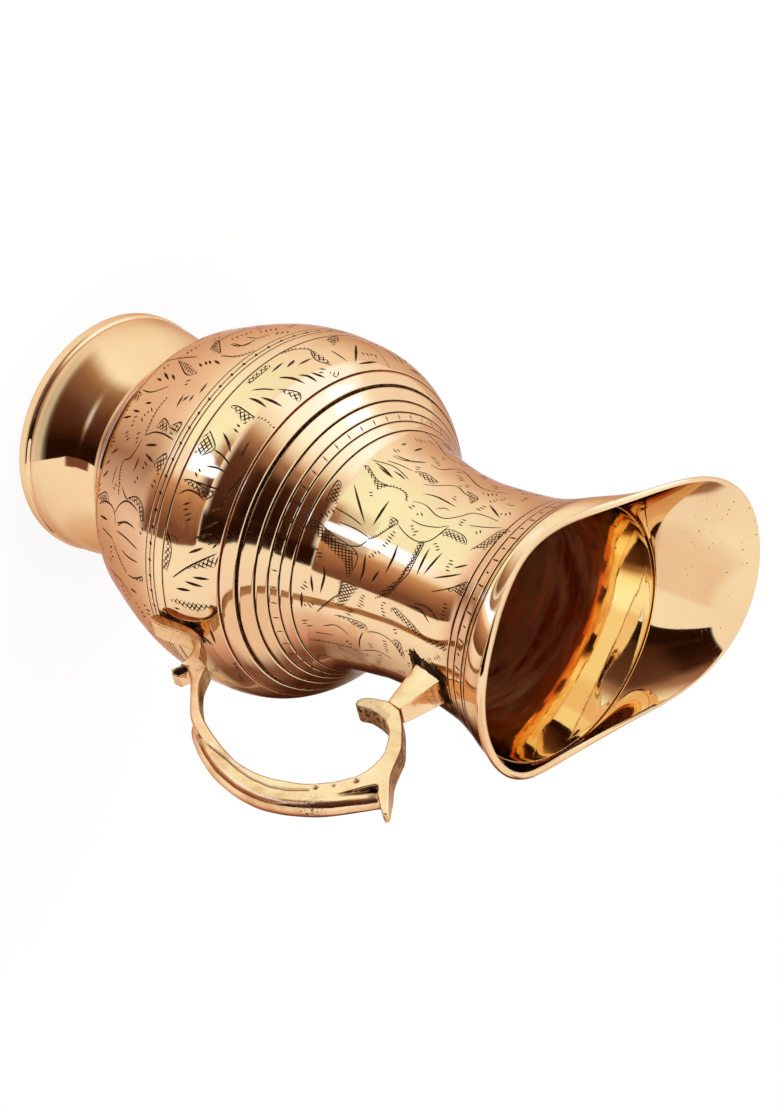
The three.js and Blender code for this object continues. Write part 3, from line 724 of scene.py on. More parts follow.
def add_ribbon(points, edges, faces, line, half):
    """Adds the middle line of a cut, its two sides, and the face between them."""
    along = np.gradient(line, axis=0)
    along /= np.linalg.norm(along, axis=1)[:, None] + 1e-9
    across = np.c_[-along[:, 1], along[:, 0]] * half[:, None]
    first = len(points)
    points += [tuple(p) for p in line]
    edges += [(first + i, first + i + 1) for i in range(len(line) - 1)]
    base, n = len(points), len(line) - 2
    points += [tuple(p) for p in (line + across)[1:-1]] + [tuple(p) for p in (line - across)[1:-1]]
    there, back = [base + n + i for i in range(n)], [base + i for i in reversed(range(n))]
    faces.append([first] + there + [first + len(line) - 1] + back)


def along_middle(line, half, slope):
    """Close samples of (place, half width, slope) along a cut."""
    samples = []
    for a, b, ha, hb in zip(line[:-1], line[1:], half[:-1], half[1:]):
        count = max(1, int(np.linalg.norm(b - a) / SAMPLE_STEP))
        for t in np.arange(count) / count:
            samples.append((a + (b - a) * t, ha + (hb - ha) * t, slope))
    return samples


def wall_triangles(low, high, rings, cuts):
    """Points (round, up), triangles, which triangles lie in a cut, and samples of the cuts."""
    points, edges = wall_grid(low, high, rings)
    faces, samples = [], []
    for middle, half, slope in cuts:
        for shift in (-SPAN, 0, SPAN):
            line = middle + np.array([shift, 0])
            if fits(line, run_at(low), run_at(high)):
                add_ribbon(points, edges, faces, line, half)
                samples += along_middle(line, half, slope)
    places = [Vector(p) for p in points]
    found, _, triangles, _, _, owners = delaunay_2d_cdt(places, edges, faces, 0, 1e-5, True)
    return np.array([tuple(p) for p in found]), triangles, [bool(o) for o in owners], samples


print("triangle helpers ready")

# %% Depth of the cuts
CUT_REACH = 0.5


def cut_depths(points, needed, samples):
    """How far each point lies under the surface: the deepest cut that reaches it."""
    tree = KDTree(len(samples))
    for i, (place, _, _) in enumerate(samples):
        tree.insert((place[0], place[1], 0), i)
    tree.balance()
    depth = np.zeros(len(points))
    for k in needed:
        for _, i, distance in tree.find_range((points[k][0], points[k][1], 0), CUT_REACH):
            _, half, slope = samples[i]
            depth[k] = max(depth[k], slope * (half - distance))
    return depth


print("depth helper ready")

# %% [markdown]
# ## Rolling the wall up
#
# Each point goes back round the axis at the radius of the body line. A mirror shows every wobble of
# its normals, so the polished faces are told their exact direction from the body line, and only the
# faces inside a cut keep their own.

# %% Roll up an engraved wall
# Places of the three finishes in the list of a wall.
POLISHED, CUT, INSIDE = 0, 1, 2


def roll_up(bm, low, high, rings, cuts):
    """Adds the engraved outside between two heights to a new bmesh."""
    flat, triangles, in_cut, samples = wall_triangles(low, high, rings, cuts)
    needed = sorted({k for tri, marked in zip(triangles, in_cut) if marked for k in tri})
    depth = cut_depths(flat, needed, samples)
    height = np.interp(flat[:, 1], line_run, body_line[:, 1])
    for r, w, d in rings:
        depth = np.maximum(depth, d * (1 - np.abs(height - r) / (w / 2)))
    radius, out, up = on_body(height)
    angle = flat[:, 0] / ROUND
    rho = radius - out * depth
    places = np.c_[AXIS_X + rho * np.cos(angle), rho * np.sin(angle), height - up * depth] * MM
    for r, w, _ in rings:
        edge = np.abs(np.abs(height - r) - w / 2) < 2e-3
        lean = np.where(height < r, 0.5, -0.5) * edge
        out, up = out - up * lean, up + out * lean
    normals = np.c_[out * np.cos(angle), out * np.sin(angle), up]
    polish = bm.verts.layers.float_vector.new("polish")
    verts = []
    for place, normal in zip(places, normals):
        vert = bm.verts.new(place)
        vert[polish] = normal
        verts.append(vert)
    for tri, marked in zip(triangles, in_cut):
        if len(set(tri)) < 3:
            continue
        face = bm.faces.new([verts[k] for k in tri])
        face.smooth = True
        at = height[list(tri)].mean()
        groove = any(abs(at - r) < w / 2 - 0.02 for r, w, _ in rings)
        face.material_index = CUT if (marked or groove) else POLISHED


print("rolling ready")

# %% From a bmesh to an object
def mesh_object(name, bm, materials):
    """Puts a finished bmesh in the scene as an object."""
    open_edges = sum(1 for e in bm.edges if len(e.link_faces) != 2)
    mesh = bpy.data.meshes.new(name)
    bm.to_mesh(mesh)
    bm.free()
    for material in materials:
        mesh.materials.append(material)
    piece = bpy.data.objects.new(name, mesh)
    bpy.context.scene.collection.objects.link(piece)
    print("%s: %d faces, %d open edges" % (name, len(mesh.polygons), open_edges))
    return piece


def wall_object(name, bm):
    """Closes a wall's seams, faces it outwards and gives polished faces their exact normals."""
    bmesh.ops.remove_doubles(bm, verts=bm.verts, dist=0.004 * MM)
    bmesh.ops.dissolve_degenerate(bm, edges=bm.edges, dist=0.0005 * MM)
    bmesh.ops.recalc_face_normals(bm, faces=bm.faces)
    polish = bm.verts.layers.float_vector["polish"]
    exact = []
    for face in bm.faces:
        for loop in face.loops:
            normal = loop.vert[polish]
            if face.material_index == CUT:
                exact.append(tuple(face.normal))
            elif face.material_index == POLISHED and normal.length > 0.5:
                exact.append(tuple(normal))
            else:
                exact.append((0.0, 0.0, 0.0))
    bm.verts.layers.float_vector.remove(polish)
    piece = mesh_object(name, bm, [body_finish, cut_finish, inside_finish])
    piece.data.normals_split_custom_set(exact)
    return piece


def spun(bm, points, material=INSIDE):
    """Spins a line of (radius, height) points once round the axis."""
    verts = [bm.verts.new(((AXIS_X + r) * MM, 0, z * MM)) for r, z in points]
    edges = [bm.edges.new(pair) for pair in zip(verts[:-1], verts[1:])]
    before = set(bm.faces)
    bmesh.ops.spin(bm, geom=verts + edges, cent=(AXIS_X * MM, 0, 0), axis=(0, 0, 1), angle=2 * math.pi,
                   steps=COLUMNS, use_merge=True, use_duplicate=False)
    for face in set(bm.faces) - before:
        face.smooth = True
        face.material_index = material


print("object helpers ready")

# %% [markdown]
# ## The belly
#
# The belly is the engraved wall from just inside the foot up to the shoulder groove. The plain bottom
# of the bowl, hidden by the foot, and the inside are spun as one line.
# Its turned rings: three fine lines that carry the dots, one deeper line above them, and half of
# the shoulder groove, which is where the belly meets the upper body.

# %% Belly
BOWL_BOTTOM, BELLY_LOW, BELLY_TOP = 17.7, 39.0, 128.05
BELLY_RINGS = [
    (97.3, 0.42, 0.2), (99.6, 0.42, 0.2), (101.6, 0.42, 0.2), (106.1, 0.55, 0.3), (128.2, 0.7, 0.4),
]
LEVEL_WALL = WALL * 1.15


def inner_line(low, high, step=2.5):
    """Points of the inside of the wall between two heights."""
    rows = []
    for z in np.linspace(low, high, max(2, int((high - low) / step))):
        r, out, up = on_body(z)
        rows.append((max(r - out * WALL, 0), z - up * WALL))
    return rows


def shell_end(low, high, rings):
    """Inside line of a wall between two heights, with its two flat ends, from the bottom out and round.

    The wall leans, so it is a little thicker when measured level, as it is at its ends.
    """
    def outer_edge(z):
        r, out, up = on_body(z)
        depth = max([0] + [d * (1 - abs(z - ring) / (w / 2)) for ring, w, d in rings])
        return (r - out * depth, z - up * depth)
    inside = [(r, z) for r, z in inner_line(low, high) if low + 0.3 < z < high - 0.3]
    r_low, r_high = on_body(low)[0] - LEVEL_WALL, on_body(high)[0] - LEVEL_WALL
    start = [outer_edge(low), (r_low, low), (r_low, low + 0.04)]
    return start + inside + [(r_high - 0.01, high - 0.04), (r_high, high), outer_edge(high)]


belly_mesh = bmesh.new()
roll_up(belly_mesh, BELLY_LOW, BELLY_TOP, BELLY_RINGS, belly_cuts)
bowl = [(float(r), float(z)) for r, z in body_line[body_line[:, 1] < BELLY_LOW - 0.4][::6]]
inside = [(r, z) for r, z in inner_line(BOWL_BOTTOM + 0.01, BELLY_TOP) if z < BELLY_TOP - 0.3]
inside = [(0, BOWL_BOTTOM + WALL)] + [p for p in inside if p[0] > 2]
spun(belly_mesh, [(float(on_body(BELLY_LOW)[0]), BELLY_LOW)] + bowl[::-1])
spun(belly_mesh, inside + shell_end(100, BELLY_TOP, BELLY_RINGS)[-2:])
belly = wall_object("engraved_belly", belly_mesh)
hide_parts("lower_body")
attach(belly, "root")

# %% [markdown]
# ## The upper body
#
# From the shoulder groove up, the wall steps in over four turned bands, narrows to the waist, and
# flares to the throat rings. It is made in the same way as the belly, open at both ends.
# The second shoulder groove is the deep one that shows as a black line in the picture.

# %% Upper body
UPPER_LOW, UPPER_TOP = 128.35, 233.55
UPPER_RINGS = [
    (128.2, 0.7, 0.4), (132.9, 1.05, 0.6), (137.4, 0.6, 0.34), (140.9, 0.5, 0.3), (144.0, 0.5, 0.3),
    (147.6, 0.6, 0.34), (221.8, 0.62, 0.34), (226.0, 0.62, 0.34), (231.2, 0.62, 0.34), (233.7, 0.8, 0.34),
]
upper_mesh = bmesh.new()
roll_up(upper_mesh, UPPER_LOW, UPPER_TOP, UPPER_RINGS, neck_cuts)
spun(upper_mesh, shell_end(UPPER_LOW, UPPER_TOP, UPPER_RINGS))
upper = wall_object("engraved_upper_body", upper_mesh)
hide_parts("upper_body")
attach(upper, "root")

# %% [markdown]
# ## The mouth
#
# The lip is beaten out of round: low and narrow at the sides, a little higher at the back, and drawn
# far out into the spout. Its rim was measured in the photograph and is written as a short sum of
# cosines, which is smooth all the way round. The wall is a ring of edges at the throat, extruded up
# in steps along a curve that leaves the neck at its slope and ends on the rim.

# %% Rim of the mouth
RIM_REACH = [56.57, -10.04, 9.03, -2.01, 0.76, 0.11, -0.48]
RIM_RISE = [246.23, -7.34, 5.8, 1.07, -1.56]
LIP_THIN, LIP_THICK = 1.7, 3.1
LIP_BASE = 233.85
LIP_BEND = 1.28


def rim_at(angle):
    """Radius and height of the rim's outer edge, the angle counted from the handle."""
    return [sum(c * math.cos(k * angle) for k, c in enumerate(row)) for row in (RIM_REACH, RIM_RISE)]


def lip_section(angle, steps=18):
    """Outside and inside lines of the lip above one direction, and the rounded rim between them."""
    thickness = LIP_THIN + (LIP_THICK - LIP_THIN) * (0.5 + 0.5 * math.cos(angle)) ** 0.7
    r0, out, up = on_body(LIP_BASE)
    base, rim = np.array([r0, LIP_BASE]), np.array(rim_at(angle))
    chord = np.linalg.norm(rim - base)
    start = np.array([-up, out]) / math.hypot(out, up) * chord / 3
    lean = max(math.atan2(rim[0] - base[0], rim[1] - base[1]) * LIP_BEND, 0.05)
    end = np.array([math.sin(lean), math.cos(lean)]) * chord / 3
    t = np.r_[0, 0.01, np.linspace(0, 1, steps + 1)[1:]][:, None]
    rest = 1 - t
    outside = rest**3 * base + 3 * t * rest**2 * (base + start) + 3 * t**2 * rest * (rim - end) + t**3 * rim
    along = np.gradient(outside, axis=0)
    along /= np.linalg.norm(along, axis=1)[:, None]
    wall = WALL + 0.2 + (thickness - WALL - 0.2) * t
    inside = outside + np.c_[-along[:, 1], along[:, 0]] * wall
    inside[0] = (base[0] - LEVEL_WALL - 0.06, LIP_BASE - 0.5)
    outside[0] = (base[0] - 0.22, LIP_BASE - 0.29)
    edge, corner = along[-1], 0.38 * thickness
    outside[-1] -= edge * corner
    inside[-1] -= edge * corner
    middle, half = (outside[-1] + inside[-1]) / 2, (inside[-1] - outside[-1]) / 2
    bow = np.linspace(0, math.pi, 9)[1:-1]
    bead = [middle - half * math.cos(s) + edge * corner * math.sin(s) for s in bow]
    return np.vstack([outside, bead, inside[::-1]])


turns = [math.radians(SEAM) + 2 * math.pi * i / COLUMNS for i in range(COLUMNS)]
sections = np.array([lip_section(math.pi - a) for a in turns])
print("lip: %d sections of %d points" % sections.shape[:2])

# %% Rings of the mouth
def grow_ring(bm, edges, ring):
    """Extrudes a ring of edges and returns the new edges, and the new points in the old order."""
    grown = bmesh.ops.extrude_edge_only(bm, edges=edges)["geom"]
    new_edges = [g for g in grown if isinstance(g, bmesh.types.BMEdge) and all(v in grown for v in g.verts)]
    above = {}
    for v in (g for g in grown if isinstance(g, bmesh.types.BMVert)):
        below = [e.other_vert(v) for e in v.link_edges if e.other_vert(v) not in grown]
        above[below[0]] = v
    return new_edges, [above[v] for v in ring]


mouth_mesh = bmesh.new()
ring = bmesh.ops.create_circle(mouth_mesh, segments=COLUMNS, radius=0.05)["verts"]
ring_edges = list(mouth_mesh.edges)
for k in range(sections.shape[1]):
    if k:
        ring_edges, ring = grow_ring(mouth_mesh, ring_edges, ring)
    for vert, angle, (reach, height) in zip(ring, turns, sections[:, k]):
        vert.co = Vector((AXIS_X + reach * math.cos(angle), reach * math.sin(angle), height)) * MM
bottom = [e for e in mouth_mesh.edges if len(e.link_faces) == 1]
bmesh.ops.bridge_loops(mouth_mesh, edges=bottom)
bmesh.ops.recalc_face_normals(mouth_mesh, faces=mouth_mesh.faces)
for face in mouth_mesh.faces:
    face.smooth = True
    middle = face.calc_center_median().xy - Vector((AXIS_X * MM, 0))
    if face.normal.xy.dot(middle) < -0.25 * middle.length:
        face.material_index = 1
print("mouth: %d faces" % len(mouth_mesh.faces))

# %% [markdown]
# ## Pores in the spout
#
# The inside of the lip is buffed like the outside, but fine dark pores show in the metal of the spout.
# A cell pattern gives the dots, and three masks thin them out: a random pick of the cells, a ramp
# along the spout, and a cloud that gathers them in patches.

# %% Pitted lip
PORE_SCALE, PORE_SHARE = 560, 0.6
SPOUT_START, SPOUT_END = 0.062, 0.088
PORE_COLOUR = (0.06, 0.025, 0.012, 1)


def pitted_lip(name):
    finish, tree = new_finish(name)
    place = object_place(tree)
    pores = add_node(tree, "ShaderNodeTexVoronoi", Scale=PORE_SCALE)
    tree.links.new(place, pores.inputs["Vector"])
    dot = stretched(tree, pores.outputs["Distance"], 0.2, 0.1)
    pick = add_node(tree, "ShaderNodeSeparateColor")
    tree.links.new(pores.outputs["Color"], pick.inputs[0])
    few = maths(tree, "GREATER_THAN", pick.outputs[0], PORE_SHARE)
    spout = stretched(tree, one_axis(tree, place, "X"), SPOUT_START, SPOUT_END)
    cloud = grey_ramp(tree, grain(tree, 70, 3), 0, 1, 0.42, 0.5)
    amount = product(tree, dot, few, spout, cloud)
    brass = ramp(tree, grain(tree, 28, 3), [(0.35, (0.885, 0.615, 0.35)), (0.68, (0.935, 0.695, 0.395))])
    roughness = grey_ramp(tree, amount, 0.045, 0.5, 0, 1)
    normal = bumps(tree, (grain(tree, 45, 1.5), 0.015))
    metal(tree, blend(tree, amount, brass, PORE_COLOUR), roughness, normal)
    return finish


def add_piece(name, bm, materials, node):
    """Puts a finished bmesh in the scene in place of a solid."""
    piece = mesh_object(name, bm, materials)
    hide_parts(node)
    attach(piece, "root")


lip_finish = pitted_lip("pitted_lip")
add_piece("lip_and_spout", mouth_mesh, [body_finish, lip_finish], "mouth")

# %% [markdown]
# ## The foot
#
# The foot is a short hollow drum. From the floor up it has a rounded outer band, a small step with a
# fine groove, a wall that bows in a little, and a neck that runs up under the belly. Spinning one line
# makes it: outside up, round the top edge, and down the inside.

# %% Foot
FOOT_OUTSIDE = [
    (45.9, 0.0), (46.9, 0.25), (47.5, 1.0), (47.7, 2.4), (47.7, 4.6), (47.45, 5.5), (46.95, 5.9),
    (46.75, 6.3), (47.0, 6.7), (47.0, 7.6), (46.8, 10.0), (46.5, 13.0), (45.9, 17.0), (44.9, 21.5),
    (43.5, 26.0), (42.2, 30.0), (41.2, 33.5), (40.75, 36.2), (40.95, 37.6), (41.45, 38.6),
]
FOOT_INSIDE = [
    (40.4, 37.6), (39.3, 35.4), (38.9, 32.0), (39.7, 29.0), (41.1, 25.2), (42.5, 20.8), (43.5, 16.5),
    (44.1, 12.5), (44.5, 8), (44.6, 3), (44.4, 0.5), (44.8, 0.0),
]
foot_mesh = bmesh.new()
outside = [tuple(p) for p in soft_curve(FOOT_OUTSIDE, 0.55)]
inside = [tuple(p) for p in soft_curve(FOOT_INSIDE, 1.6)]
spun(foot_mesh, outside + inside + [outside[0]], POLISHED)
bmesh.ops.remove_doubles(foot_mesh, verts=foot_mesh.verts, dist=0.01 * MM)
bmesh.ops.recalc_face_normals(foot_mesh, faces=foot_mesh.faces)
add_piece("pedestal_foot", foot_mesh, [foot_finish], "foot")

# %% [markdown]
# ## Cast brass
#
# The handle is cast, filed and only partly polished. It is yellower than the sheet, less sharp in its
# reflections, and its low places keep a brown skin with small casting pits. The same dark brown is also
# painted on as shade in the recess by the spur, inside the hook and along the grip's inner edge.

# %% Cast brass
CAST_BRIGHT = [(0.36, (0.74, 0.42, 0.20)), (0.5, (0.93, 0.62, 0.35)), (0.72, (1.0, 0.73, 0.47))]
# Colours of the dark skin, used as painted shade too.
CAST_SKIN_AND_SHADE = [(0.38, (0.045, 0.016, 0.008)), (0.5, (0.17, 0.07, 0.03)), (0.68, (0.36, 0.17, 0.08))]
PIT_SCALE = 420
DEEPEST = (0.02, 0.008, 0.004, 1)


def cast_brass(name):
    """Satin brass; a value painted on each point turns it into the dark skin of the low places, and into
    painted shade in the recess, inside the hook and along the grip's inner edge.
    """
    finish, tree = new_finish(name)
    bright = ramp(tree, grain(tree, 55, 5), CAST_BRIGHT)
    skin = ramp(tree, grain(tree, 330, 4), CAST_SKIN_AND_SHADE)
    pits = add_node(tree, "ShaderNodeTexVoronoi", Scale=PIT_SCALE)
    tree.links.new(object_place(tree), pits.inputs["Vector"])
    pitted = ramp(tree, pits.outputs["Distance"], [(0.0, (0.25, 0.12, 0.06)), (0.2, (1, 1, 1))])
    spread = grey_ramp(tree, grain(tree, 130, 3), 0, 0.8, 0.56, 0.68)
    skin_and_shade = add_node(tree, "ShaderNodeAttribute", attribute_name="skin").outputs["Fac"]
    colour = blend(tree, skin_and_shade, blend(tree, spread, bright, pitted, "MULTIPLY"), skin)
    # The highest values go almost black: the deepest dents and the collar hollow, and the painted shade in
    # the recess corner and inside the hook.
    colour = blend(tree, grey_ramp(tree, skin_and_shade, 0, 1, 0.82, 0.97), colour, DEEPEST)
    roughness = maths(tree, "MULTIPLY_ADD", skin_and_shade, 0.25, grey_ramp(tree, grain(tree, 150, 4), 0.09, 0.2))
    normal = bumps(tree, (grain(tree, 110, 4), 0.10), (pitted, 0.02), (grain(tree, 900, 3), 0.008))
    metal(tree, colour, roughness, normal)
    return finish


cast_finish = cast_brass("cast_brass")
print("finish:", cast_finish.name)

# %% [markdown]
# ## The handle
#
# The casting is one flowing body: a hook that curls in at the bracket, an arm that rises to a thumb
# spur, a grip with a round bead along its outside, a collar with two small barbs, and a scroll that
# lies against the belly. Its outline was measured in the plane of the handle.
# The parts are built as plates and tubes, melted together with a fine voxel remesh, and smoothed,
# which gives the soft inner corners of a casting. The groove, dents and collar hollow are pressed in
# afterwards; the recess by the spur is not pressed in but painted dark, as painted shade.

# %% Outline of the handle
hook_back = [
    (59.0, 207.2), (60.0, 204.0), (61.0, 201.0), (62.4, 198.7), (64.3, 197.8), (66.2, 198.4), (66.8, 200.2),
]
grip_inside = [
    (66.8, 200.2), (65.9, 203.2), (65.9, 206.6), (66.4, 210.4), (67.4, 213.9), (69.4, 217.1), (72.4, 219.8),
    (75.3, 221.7), (78.1, 223.2), (81.5, 224.1), (86.1, 224.3), (90.4, 223.3), (94.6, 220.6), (98.1, 217.4),
    (103.1, 210.5), (105.7, 203.6), (107.8, 196.2), (108.4, 188), (107.4, 179.7), (103.8, 168),
    (99.4, 157.4), (95.2, 151), (90, 145), (85.3, 141.1), (79.4, 138),
]
scroll_back = [
    (78.3, 133.6), (74.8, 130.6), (72.5, 128.6), (70.3, 125.9), (69.2, 122.6), (68.5, 119.3), (68.6, 113.3),
    (69.0, 107.1), (69.4, 103.0), (70.6, 100.9), (72.6, 100.7), (73.9, 102.6),
]
scroll_front = [
    (73.9, 102.6), (73.8, 108), (73.2, 112.5), (72.6, 116.4), (72.2, 120.3), (72.6, 123.2), (74.2, 125.6),
    (76.8, 127.6), (79.9, 128.6), (84.1, 129),
]
grip_outside = [
    (84.4, 132.6), (86.2, 136.6), (91.7, 142.2), (97.1, 147.7), (100.8, 151.9), (103.6, 156.4),
    (105.9, 162), (109.4, 170.9), (112, 178.5), (113.6, 186.5), (114.2, 193), (113.2, 201.6), (111.1, 209),
    (107.1, 217.3),
]
recess_edge = [
    (107.1, 217.3), (102.8, 221.6), (99.1, 225), (96.3, 227.1), (93.5, 229.2), (90.6, 231.8),
]
spur_front = [
    (90.5, 232.2), (93.6, 235.2), (96.2, 238.2), (98.0, 240.8), (98.5, 242.4), (97.4, 243.1),
]
arm_outside = [
    (96.0, 242.0), (92.6, 239.2), (88.4, 235.7), (84.8, 232.8), (81.2, 230.8), (77.3, 229), (73.5, 227),
    (68.8, 223), (64.2, 218.5), (60.3, 213.8),
]
bead_line = [
    (101.6, 155.8), (103.4, 158), (105.9, 163.4), (109.2, 170.9), (111.9, 178.5), (113.4, 186.5),
    (114, 193), (113.3, 201.6), (111, 209), (107.4, 216.6), (103.4, 222.6), (98.9, 228.2), (95.0, 232.6),
    (92.4, 236.0),
]
web_patch = [
    (104, 208), (99, 218), (90, 226), (86, 230), (91.6, 232.4), (98, 227.2), (103.2, 222), (107.4, 216.4),
    (110, 209),
]
groove_line = [
    (106.4, 162.6), (108.9, 178.5), (110.4, 186.5), (111.0, 193.0), (110.3, 201.2), (108.2, 207.6),
    (104.6, 213.6),
]
recess_line = [
    (107.4, 213.4), (103.6, 219.0), (99.4, 224.2), (95.4, 229.0), (92.6, 232.0),
]
collar_edge = [
    (87.2, 127.4), (88.9, 129.4), (88.6, 132.6), (85.4, 133.8), (81.4, 136.4), (79.8, 137.2), (78.6, 136.2),
    (79.0, 134.0), (81.8, 131.0), (85.0, 128.4),
]
hook_inside = [(61.5, 201.0), (64.2, 199.6), (65.8, 204.0), (67.0, 210.0)]
handle_runs = (hook_back, grip_inside, scroll_back, scroll_front, grip_outside, recess_edge, spur_front,
               arm_outside)
outline = np.vstack([soft_curve(run, 0.9) for run in handle_runs])
kept = [outline[0]]
for point in outline[1:]:
    if np.linalg.norm(point - kept[-1]) > 0.25:
        kept.append(point)
print("handle outline: %d points" % len(kept))

# %% Plates and tubes
def handle_place(out, up, side=0.0):
    """A point of the handle's plane, given as distance from the axis, height and side."""
    return Vector((AXIS_X - out, side, up)) * MM


def add_plate(bm, outline, thickness, bevel):
    """A plate in the handle's plane, with rounded edges when it has a bevel."""
    verts = [bm.verts.new(handle_place(out, up, -thickness / 2)) for out, up in outline]
    face = bm.faces.new(verts)
    grown = bmesh.ops.extrude_face_region(bm, geom=[face])["geom"]
    moved = [g for g in grown if isinstance(g, bmesh.types.BMVert)]
    bmesh.ops.translate(bm, verts=moved, vec=(0, thickness * MM, 0))
    rims = [e for e in bm.edges if (e.verts[0] in moved) == (e.verts[1] in moved) and len(e.link_faces) == 2
            and any(len(f.verts) > 4 for f in e.link_faces) and (e.verts[0] in moved or e.verts[0] in verts)]
    if bevel:
        bmesh.ops.bevel(bm, geom=rims, offset=bevel * MM, offset_type="OFFSET", segments=3, profile=0.5,
                        affect="EDGES", material=-1, clamp_overlap=True)


def add_tube(bm, line, radius_at, sides):
    """A round bar along a line in the handle's plane, closed at both ends."""
    rings = []
    for i, (out, up) in enumerate(line):
        before, after = line[max(i - 1, 0)], line[min(i + 1, len(line) - 1)]
        along = Vector((-(after[0] - before[0]), 0, after[1] - before[1])).normalized()
        radius = radius_at(i / (len(line) - 1)) * MM
        ring = bmesh.ops.create_circle(bm, cap_ends=False, segments=sides, radius=radius)["verts"]
        spin = along.to_track_quat("Z", "Y").to_matrix()
        bmesh.ops.transform(bm, matrix=Matrix.Translation(handle_place(out, up)) @ spin.to_4x4(), verts=ring)
        rings.append([e for e in bm.edges if e.verts[0] in ring and e.verts[1] in ring])
    for low, high in zip(rings[:-1], rings[1:]):
        bmesh.ops.bridge_loops(bm, edges=low + high)
    for end in (rings[0], rings[-1]):
        bmesh.ops.contextual_create(bm, geom=end)


print("plate and tube helpers ready")

# %% Melting and soft steps
def melted(name, bm, voxel, rounds):
    """Joins overlapping closed shapes into one smooth skin and returns it as a new mesh."""
    bmesh.ops.recalc_face_normals(bm, faces=bm.faces)
    data = bpy.data.meshes.new(name + "_rough")
    bm.to_mesh(data)
    bm.free()
    rough = bpy.data.objects.new(name + "_rough", data)
    bpy.context.scene.collection.objects.link(rough)
    melt = rough.modifiers.new("melt", "REMESH")
    melt.mode, melt.voxel_size, melt.use_smooth_shade = "VOXEL", voxel * MM, True
    relax = rough.modifiers.new("relax", "SMOOTH")
    relax.factor, relax.iterations = 0.5, rounds
    done = rough.evaluated_get(bpy.context.evaluated_depsgraph_get())
    skin = bmesh.new()
    skin.from_mesh(done.to_mesh())
    done.to_mesh_clear()
    bpy.data.objects.remove(rough)
    bpy.data.meshes.remove(data)
    return skin


def near_line(out, up, line):
    """Distance from each plane point to a drawn line."""
    best = np.full(len(out), 1e9)
    for (ax, ay), (bx, by) in zip(line[:-1], line[1:]):
        dx, dy = bx - ax, by - ay
        t = np.clip(((out - ax) * dx + (up - ay) * dy) / (dx * dx + dy * dy), 0, 1)
        best = np.minimum(best, np.hypot(out - ax - t * dx, up - ay - t * dy))
    return best


def ease(value, low, high):
    """0 below low, 1 above high, and smooth between."""
    t = np.clip((value - low) / (high - low), 0, 1)
    return t * t * (3 - 2 * t)


print("melting ready")

# %% Cast body of the handle
PLATE_THICKNESS, WEB_THICKNESS, COLLAR_THICKNESS = 7.4, 3.6, 6.4
SPUR_FOOT = 229
VOXEL = 0.4


def bead_radius(t):
    """Radius of the bead: it swells out of the grip, and thins again along the spur."""
    return 3.8 - 1.5 * (1 - min(t * 5, 1)) ** 2 - 1.0 * max(t - 0.75, 0) / 0.25


parts = bmesh.new()
add_plate(parts, kept, PLATE_THICKNESS, 0.9)
# The arm and the spur get narrower towards the tip of the spur, up to half as wide.
for vert in parts.verts:
    out, up = AXIS_X - vert.co.x / MM, vert.co.z / MM
    if up > SPUR_FOOT:
        vert.co.y *= 1 - 0.5 * float(ease(out * 0.55 + up * 0.83 - 243.0, 0, 15.5))
add_plate(parts, web_patch, WEB_THICKNESS, 0)
add_tube(parts, [tuple(p) for p in soft_curve(bead_line, 1.2)], bead_radius, 20)
add_plate(parts, collar_edge, COLLAR_THICKNESS, 0.5)
handle_mesh = melted("handle", parts, VOXEL, 2)
print("melted handle: %d faces" % len(handle_mesh.faces))

# %% Grooves and dents pressed in
handle_mesh.verts.ensure_lookup_table()
spots = np.array([v.co for v in handle_mesh.verts]) / MM
facing = np.array([v.normal for v in handle_mesh.verts])
out, side, up = AXIS_X - spots[:, 0], spots[:, 1], spots[:, 2]
off_middle = np.abs(side)
# Each dent: its place in the handle's plane, its width and its depth.
DENTS = [((102.5, 214.9), 0.75, 0.7), ((98.6, 219.6), 0.55, 0.5), ((92.9, 224.5), 0.85, 0.8)]
GROOVE_WIDTH, GROOVE_DEPTH, HOLLOW_DEPTH, WAVE_DEPTH = 0.42, 0.38, 0.9, 0.10


def near(line, reach, soft):
    """1 on a drawn line, fading over a soft width to 0 at the reach."""
    return ease(reach - near_line(out, up, line), 0, soft)


def cloud(scale):
    """Smooth noise between about -1 and 1 at every point of the handle."""
    return np.array([noise.noise(Vector(p) * scale) for p in spots])


groove = np.exp(-(near_line(out, up, groove_line) / GROOVE_WIDTH) ** 2)
groove = groove * ease(up, 160, 172) * ease(off_middle, 2.2, 3.2)
hollow = near([(87.2, 130.6), (86.0, 131.4)], 3.4, 2.2) * ease(off_middle, 2.0, 3.0)
press = groove * GROOVE_DEPTH + hollow * HOLLOW_DEPTH + cloud(0.16) * WAVE_DEPTH
dark = np.clip(groove * 0.55 + hollow * 1.2, 0, 1)
for place, wide, deep in DENTS:
    dent = np.exp(-(np.hypot(out - place[0], up - place[1]) / wide) ** 2) * ease(side, 1.6, 2.8)
    press += dent * deep
    dark = np.maximum(dark, dent)
for vert, normal, amount in zip(handle_mesh.verts, facing, press):
    vert.co -= Vector(normal) * float(amount) * MM
print("deepest press %.2f mm" % press.max())

# %% Dark skin of the low places, and painted shade
# Painted shade: the recess by the spur and its corner are not pressed in but painted dark, with a patch of
# dark speckles beside them.
recess = near(recess_line, 2.1, 0.6) * ease(3.45 - off_middle, 0, 0.35) * ease(up, 211, 219)
corner = ease(3.2 - np.hypot(out - 93.4, up - 232.4), 0, 1.2) * ease(3.2 - off_middle, 0, 0.5)
speckle = np.maximum(cloud(1.4) + 0.15, 0)
speckle = np.exp(-((out - 109.8) ** 2 + (up - 219.0) ** 2) / 16) * speckle * 1.8
recess = np.maximum(np.maximum(recess * 0.8, corner), speckle)
